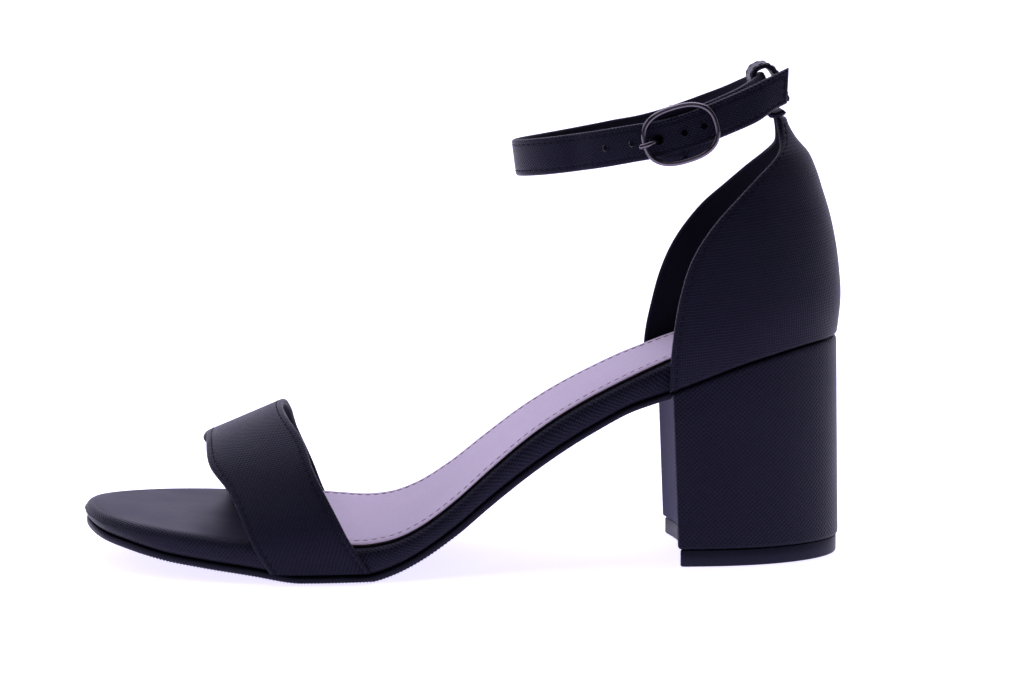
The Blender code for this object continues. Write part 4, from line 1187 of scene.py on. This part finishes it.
def strap_band(step=0.8):
    """Middle line, width and thickness directions and sizes of the strap, laid out finely."""
    route, thick, free = strap_route()
    run = lengths_along(route)
    free_run = run[-free]
    tip = np.array((0, 0.06, 0.2, 0.45, 0.8, 1.2, 1.6, 2.0, 2.4, 2.8))
    fine = np.unique(np.concatenate([np.arange(0, run[-1], step), run[-1] - tip]))
    route = np.stack([through(run, route[:, k], fine) for k in (0, 1)], -1)
    thick = np.interp(fine, run, thick)
    path = np.column_stack([route, strap_height(route[:, 0], route[:, 1])])
    slope = np.gradient(STRAP_RISE.columns["z"], STRAP_RISE.key)
    rise = through(STRAP_RISE.key, slope, path[:, 0])
    wide = unit(np.column_stack([-rise, np.zeros(len(path)), np.ones(len(path))]))
    on_free = fine >= free_run
    upright = smoothstep((path[:, 0] - TIP_X + TIP_TURN) / (TIP_TURN - 2.0)) * on_free
    wide = wide * (1 - upright[:, None]) + np.array([0.04, 0.0, 1.0]) * upright[:, None]
    thin = unit(np.cross(np.gradient(path, axis=0), wide))
    narrow = smoothstep(1.6 * (fine - free_run) / (run[-1] - free_run))
    width = STRAP_WIDTH + (STRAP_TIP_WIDTH - STRAP_WIDTH) * narrow
    return fine, path, wide, thin, width / 2, thick / 2


def strap_hole(x):
    """Middle of a hole in the free end, and the direction square to the strap there."""
    y = FREE_END.at("y", np.array([x - 0.5, x, x + 0.5]))
    along = np.array([1.0, y[2] - y[0], 0.0])
    out = unit(np.array([along[1], -along[0], 0.0]))
    return np.array([x, y[1], strap_height(x, y[1])]), out


def drilled(made, places):
    """Cuts a round hole through a piece at each place, with EXACT booleans that are applied."""
    drills = []
    for centre, out, radius in places:
        bpy.ops.mesh.primitive_cylinder_add(vertices=28, radius=radius * MM, depth=5 * MM)
        drill = bpy.context.object
        turn = Vector(out).to_track_quat("Z", "Y").to_matrix().to_4x4()
        drill.data.transform(Matrix.Translation(Vector(centre) * MM) @ turn)
        drill.data.materials.append(lining)
        cut = made.modifiers.new("hole", "BOOLEAN")
        cut.operation, cut.solver, cut.object = "DIFFERENCE", "EXACT", drill
        drills.append(drill)
    depsgraph = bpy.context.evaluated_depsgraph_get()
    done = bpy.data.meshes.new_from_object(made.evaluated_get(depsgraph))
    made.modifiers.clear()
    made.data = done
    for drill in drills:
        bpy.data.objects.remove(drill, do_unlink=True)


def make_strap():
    fine, path, wide, thin, half_width, half_thick = strap_band()
    across = edge_steps(STRAP_WIDTH, step=0.9)
    share = 2 * across / STRAP_WIDTH - 1
    mid = path[None] + (share[:, None] * half_width[None])[..., None] * wide[None]
    normal = np.broadcast_to(thin[None], mid.shape)
    near = np.minimum(across, STRAP_WIDTH - across)[:, None]
    ends = np.minimum(fine, fine[-1] - fine)[None, :]
    edge = np.minimum(near, ends)
    face, back = wall_faces(mid, normal, edge, half_thick[None, :], trough(edge, STRAP_SEAM_IN))
    flat = strip_map(fine, across)
    outward = np.sum(thin * (path - path.mean(0)), axis=1).mean() > 0
    kinds = (0, 1) if outward else (1, 0)
    made = closed_mesh("ankle_strap_leather", [(face, flat, kinds[0]), (back, flat, kinds[1])],
                       [strap_grain, lining], ["ankle_strap"])
    seen, out = (face, thin) if outward else (back, -thin)
    places = [(*strap_hole(x), HOLE_RADIUS) for x in HOLE_STATIONS_X if x > FREE_START_X]
    places.append((*strap_hole(PRONG_HOLE_X), PRONG_HOLE_RADIUS))
    drilled(made, places)
    rims = [tube(f"hole_rim_{k}", hole_ring(centre, out, radius), 0.2, strap_grain)
            for k, (centre, out, radius) in enumerate(places, 1)]
    sides = (STRAP_SEAM_IN, STRAP_WIDTH - STRAP_SEAM_IN)
    end = fine[-1] - STRAP_SEAM_IN
    keep = (fine > TAIL_LENGTH + 4.0) & (fine < end)
    for label, where in zip(("lower", "upper"), sides):
        row = int(np.argmin(np.abs(across - where)))
        stitches(f"strap_{label}_stitches", seen[row][keep], out[keep], thread,
                 pitch=2.2)
    tip = int(np.argmin(np.abs(fine - end)))
    column = seen[(across > sides[0]) & (across < sides[1]), tip]
    stitches("strap_tip_stitches", column, np.tile(out[tip], (len(column), 1)), thread,
             pitch=2.2)
    return made, rims


def hole_ring(centre, out, radius):
    """Closed circle round a hole, on the strap's outer face."""
    angle = np.linspace(0, 2 * np.pi, 33)[:-1]
    side = np.cross(out, (0.0, 0.0, 1.0))
    up = np.cross(side, out)
    ring = np.cos(angle)[:, None] * side + np.sin(angle)[:, None] * up
    face = out * (STRAP_THICK / 2) * np.sign(-out[1])
    return centre + face + ring * (radius + 0.12)


def tube(name, path, radius, finish, stands_for=(), closed=True, sides=14, wide=None,
         half_wide=None, half_deep=None):
    """Tube along a path: a circle, or an ellipse with given directions, at every point.

    An open tube's ends are closed by rings that shrink as a half circle does.
    """
    if closed:
        along = np.roll(path, -1, axis=0) - np.roll(path, 1, axis=0)
    else:
        along = np.gradient(path, axis=0)
    along = unit(along)
    if wide is None:
        wide = unit(np.cross(along, TUBE_GUIDE))
    deep = np.cross(along, wide)
    angle = np.linspace(0, 2 * np.pi, sides + 1)
    angle[-1] = 0.0
    a, b = half_wide or radius, half_deep or radius
    around = a * np.cos(angle)[:, None] * wide[:, None] + b * np.sin(angle)[:, None] * deep[:, None]
    rings = path[:, None] + around
    if closed:
        rings = np.concatenate([rings, rings[:1]])
    else:
        t = np.linspace(np.pi / 2, 0, 6)[:-1][:, None, None]
        start = path[0] + np.cos(t) * around[0] - np.sin(t) * radius * along[0]
        end = path[-1] + np.cos(t[::-1]) * around[-1] + np.sin(t[::-1]) * radius * along[-1]
        rings = np.concatenate([start, rings, end])
    run = lengths_along(rings[:, 0])
    flat = np.dstack([np.tile(run[:, None], (1, sides + 1)),
                      np.tile(angle * radius, (len(rings), 1))])
    return closed_mesh(name, [(rings, flat, 0)], [finish], stands_for)


# Buckle and loop

def buckle_place():
    """Middle of the buckle on the free end, and its directions along, up and out."""
    x = np.array([BUCKLE_X - 1.0, BUCKLE_X, BUCKLE_X + 1.0])
    y = FREE_END.at("y", x)
    points = np.column_stack([x, y, strap_height(x, y)])
    along = unit(points[2] - points[0])
    out = unit(np.cross(along, (-along[2], 0.0, along[0])))
    up = np.cross(out, along)
    out, up = (out, up) if out[1] < 0 else (-out, -up)
    return points[1], along, up if up[2] > 0 else -up, out


def smooth_path(points, step=0.25):
    """Points laid out finely on the cubic curve through a few of them."""
    run = lengths_along(points)
    where = np.linspace(0, run[-1], int(run[-1] / step) + 2)
    return np.stack([through(run, points[:, k], where) for k in range(3)], -1)


def make_buckle():
    """Oval rim: a superellipse in the buckle's plane, and the bar that passes under the strap."""
    middle, along, up, out = buckle_place()
    a, b = superellipse(np.linspace(0, 2 * np.pi, 121)[:-1], BUCKLE_POWER)
    rim = np.stack([BUCKLE_HALF_LENGTH * a, BUCKLE_HALF_HEIGHT * b], -1)
    rim = even(np.concatenate([rim, rim[:1]]), 120)[:-1]
    lift = STRAP_THICK / 2 + GAP + BUCKLE_RIM_DEPTH / 2
    path = middle + out * lift + rim[:, :1] * along + rim[:, 1:] * up
    wide = unit(np.cross(np.roll(path, -1, axis=0) - np.roll(path, 1, axis=0), out))
    frame_piece = tube("buckle_rim", path, BUCKLE_RIM_WIDTH / 2, metal,
                       ["buckle_frame"], wide=wide, half_wide=BUCKLE_RIM_WIDTH / 2,
                       half_deep=BUCKLE_RIM_DEPTH / 2)
    bar = bar_place()
    low = np.array([bar[0], bar[1], strap_height(bar[0], bar[1])])
    depth = np.dot(low - middle, out)
    bend = np.array([(0.0, lift), (0.0, 0.4), (0.3, depth + 0.7), (0.9, depth)])
    reach = BUCKLE_HALF_HEIGHT - bend[:, 0]
    across = np.concatenate([-reach, [0.0], reach[::-1]])
    deep = np.concatenate([bend[:, 1], [depth], bend[::-1, 1]])
    shift = np.dot(low - middle, along)
    points = middle + along * shift + across[:, None] * up + deep[:, None] * out
    bar_piece = tube("buckle_bar", smooth_path(points), BAR_RADIUS, metal,
                     closed=False)
    return frame_piece, bar_piece


def make_prong():
    """Prong: out through the strap's hole and down onto the rim, along a smooth curve."""
    middle, along, up, out = buckle_place()
    bar = bar_place()
    low = np.array([bar[0], bar[1], strap_height(bar[0], bar[1])])
    depth = np.dot(low - middle, out)
    start = np.dot(low - middle, along) - BAR_RADIUS - GAP - STRAP_THICK - GAP
    hole = (PRONG_HOLE_X - BUCKLE_X) / along[0]
    over = STRAP_THICK / 2 + GAP + BUCKLE_RIM_DEPTH + GAP + PRONG_RADIUS
    end = -BUCKLE_HALF_LENGTH
    shape = np.array([
        (start, depth),
        (start - 1.3, depth + 0.3),
        (hole + 1.1, -2.0),
        (hole + 0.4, -0.9),
        (hole - 0.3, 0.3),
        (hole - 1.1, 1.5),
        (hole - 2.3, over - 1.0),
        (end + 0.9, over - 0.2),
        (end, over),
        (end - 1.2, over - 0.1),
    ])
    points = middle + shape[:, :1] * along + shape[:, 1:] * out
    return tube("buckle_tongue", smooth_path(points), PRONG_RADIUS, metal,
                ["buckle_prong"], closed=False)


def make_backing():
    """Folded end that carries the buckle: a thin oval plate close behind the free end."""
    middle, along, up, out = buckle_place()
    angle = np.linspace(0, 2 * np.pi, 73)
    angle[-1] = 0.0
    a, b = superellipse(angle, BUCKLE_POWER)
    border = BACKING_SIZE[0] * a[:, None] * along + BACKING_SIZE[1] * b[:, None] * up
    top = -STRAP_THICK / 2 - 0.1
    shares = np.array([0.0, 0.5, 1.0 - 0.3 / BACKING_SIZE[1], 1.0])
    faces = []
    for level, rim in ((top, -0.25), (top - BACKING_THICK, 0.25)):
        sink = np.array([0.0, 0.0, 0.0, rim])
        faces.append(middle + shares[:, None, None] * border
                     + (level + sink)[:, None, None] * out)
    wall = np.stack([faces[0][-1], faces[1][-1]])
    flat = np.dstack([border @ along, border @ up])
    maps = shares[:, None, None] * flat
    return closed_mesh("buckle_backing", [(faces[0], maps, 0), (faces[1], maps, 1),
                                          (wall, np.repeat(flat, 2, 0), 0)],
                       [strap_grain, lining], ["ankle_strap"])


def make_loop():
    """Back loop: a flat strip turned once round the strap, on a leaning superellipse."""
    lean = np.radians(LOOP_LEAN_DEG)
    up = np.array([-np.sin(lean), 0.0, np.cos(lean)])
    back = np.array([np.cos(lean), 0.0, np.sin(lean)])
    centre = np.array([LOOP_CENTRE[0], 0.0, LOOP_CENTRE[1]])
    a, b = superellipse(np.radians(np.linspace(-70.0, -395.0, 120)), LOOP_POWER)
    path = centre + LOOP_HALF_DEPTH * a[:, None] * back + LOOP_HALF_HEIGHT * b[:, None] * up
    path = smooth_path(path, 0.3)
    run = lengths_along(path)
    across = edge_steps(2 * LOOP_HALF_WIDTH, step=0.9)
    wide = np.array([0.0, 1.0, 0.0])
    thin = unit(np.cross(np.gradient(path, axis=0), wide))
    thin *= np.sign(np.sum(thin * (path - centre)))
    mid = path[None] + (across - LOOP_HALF_WIDTH)[:, None, None] * wide
    near = np.minimum(across, 2 * LOOP_HALF_WIDTH - across)[:, None]
    edge = np.minimum(near, np.minimum(run, run[-1] - run)[None, :])
    half = LOOP_WALL / 2
    flat = strip_map(run, across)
    normal = np.broadcast_to(thin[None], mid.shape)
    dip = 0.5 * trough(near, LOOP_SEAM_IN) * (arc_over(edge, half) > 0.5 * half)
    face, back_face = wall_faces(mid, normal, edge, half, dip)
    made = closed_mesh("loop_leather", [(face, flat, 0), (back_face, flat, 1)],
                       [strap_grain, lining], ["back_loop"])
    for label, where in (("left", LOOP_SEAM_IN), ("right", 2 * LOOP_HALF_WIDTH - LOOP_SEAM_IN)):
        row = int(np.argmin(np.abs(across - where)))
        stitches(f"loop_{label}_stitches", face[row], thin, thread, pitch=2.1)
    return made


# Stage: sizes in metres

LIGHT_TINT = (0.88, 0.84, 1.0)
SANDAL_MIDDLE = (-0.08, 0.0, 0.05)
FLOOR_DEPTH = 1.4
FLOOR_RADIUS = 0.8
FLOOR_HALF = 3.0
GLOW_FROM_Y = -0.35
GLOW_FULL_Y = -0.16


def make_camera():
    data = bpy.data.cameras.new("camera")
    data.sensor_width, data.lens = SENSOR_WIDTH, LENS
    data.clip_start, data.clip_end = 0.01, 20.0
    camera = bpy.data.objects.new("camera", data)
    azimuth, elevation = np.radians(CAMERA_AZIMUTH), np.radians(CAMERA_ELEVATION)
    back = Vector((np.sin(azimuth) * np.cos(elevation), -np.cos(azimuth) * np.cos(elevation),
                   np.sin(elevation)))
    turn = (-back).to_track_quat("-Z", "Y").to_matrix().to_4x4()
    place = Vector(CAMERA_TARGET) * MM + back * CAMERA_DISTANCE * MM
    roll = Matrix.Rotation(np.radians(CAMERA_ROLL), 4, "Z")
    camera.matrix_world = Matrix.Translation(place) @ turn @ roll
    bpy.context.scene.collection.objects.link(camera)
    bpy.context.scene.camera = camera


def make_light(name, place, target, size, power):
    """Soft light from a rectangle, with its power in watts."""
    data = bpy.data.lights.new(name, "AREA")
    data.shape, data.size, data.size_y = "RECTANGLE", *size
    data.energy, data.color = power, LIGHT_TINT
    light = bpy.data.objects.new(name, data)
    light.location = place
    light.rotation_mode = "QUATERNION"
    light.rotation_quaternion = (Vector(target) - Vector(place)).to_track_quat("-Z", "Y")
    bpy.context.scene.collection.objects.link(light)


def make_floor():
    """White sweep: a level floor that rises behind the sandal along a quarter circle.

    It glows under and behind the sandal, so that it shows white, and less towards the camera.
    """
    flat_y = np.linspace(-2.5, FLOOR_DEPTH, 30)
    angle = np.linspace(0, np.pi / 2, 24)[1:]
    y = np.concatenate([flat_y, FLOOR_DEPTH + FLOOR_RADIUS * np.sin(angle),
                        [FLOOR_DEPTH + FLOOR_RADIUS]])
    z = np.concatenate([np.zeros(30), FLOOR_RADIUS * (1 - np.cos(angle)), [3.0]])
    x = np.linspace(-FLOOR_HALF, FLOOR_HALF, 12)
    grid = np.dstack([np.tile(x, (len(y), 1)), np.tile(y[:, None], (1, 12)),
                      np.tile(z[:, None], (1, 12))])
    index = np.arange(grid.shape[0] * 12).reshape(-1, 12)
    quads = np.stack([index[:-1, :-1], index[:-1, 1:], index[1:, 1:], index[1:, :-1]], -1)
    mesh = bpy.data.meshes.new("floor")
    mesh.from_pydata(grid.reshape(-1, 3), [], quads.reshape(-1, 4).tolist())
    mesh.shade_smooth()
    paper = bpy.data.materials.new("white paper")
    paper.use_nodes = True
    shader = paper.node_tree.nodes["Principled BSDF"]
    shader.inputs["Base Color"].default_value = (0.93, 0.93, 0.94, 1.0)
    shader.inputs["Roughness"].default_value = 0.8
    shader.inputs["Specular IOR Level"].default_value = 0.1
    tree = paper.node_tree
    place = joined(tree, "ShaderNodeTexCoord", {}).outputs["Object"]
    depth_of = joined(tree, "ShaderNodeSeparateXYZ", {0: place}).outputs[1]
    lit = joined(tree, "ShaderNodeMapRange", {"Value": depth_of, "From Min": GLOW_FROM_Y,
                                              "From Max": GLOW_FULL_Y})
    glow = joined(tree, "ShaderNodeMix", {0: lit.outputs[0]}, data_type="RGBA")
    glow.inputs[6].default_value = (0.0, 0.0, 0.0, 1.0)
    glow.inputs[7].default_value = (0.80, 0.76, 1.0, 1.0)
    tree.links.new(glow.outputs[2], shader.inputs["Emission Color"])
    shader.inputs["Emission Strength"].default_value = 1.05
    mesh.materials.append(paper)
    floor = bpy.data.objects.new("floor", mesh)
    bpy.context.scene.collection.objects.link(floor)


def make_world():
    world = bpy.data.worlds.new("studio")
    bpy.context.scene.world = world
    world.use_nodes = True
    shade = world.node_tree.nodes["Background"]
    shade.inputs["Color"].default_value = (0.95, 0.95, 1.0, 1.0)
    shade.inputs["Strength"].default_value = 0.05
    bpy.context.scene.view_settings.view_transform = "Standard"


make_camera()
make_world()
make_floor()
make_light("top light", (-0.15, 0.25, 1.1), SANDAL_MIDDLE, (1.4, 0.9), 9.0)
make_light("left light", (-1.2, -0.1, 0.6), SANDAL_MIDDLE, (0.8, 0.8), 2.6)
make_light("right light", (1.1, 0.2, 0.5), (0.0, 0.0, 0.07), (0.6, 0.8), 1.6)
make_light("front light", (-0.1, -1.4, 1.0), SANDAL_MIDDLE, (1.0, 0.5), 1.0)

make_platform()
make_outsole()
make_insole()
make_heel()
make_breast_cover()
make_top_piece()
make_vamp()
make_counter()
make_strap()
make_buckle()
make_prong()
make_loop()
make_backing()
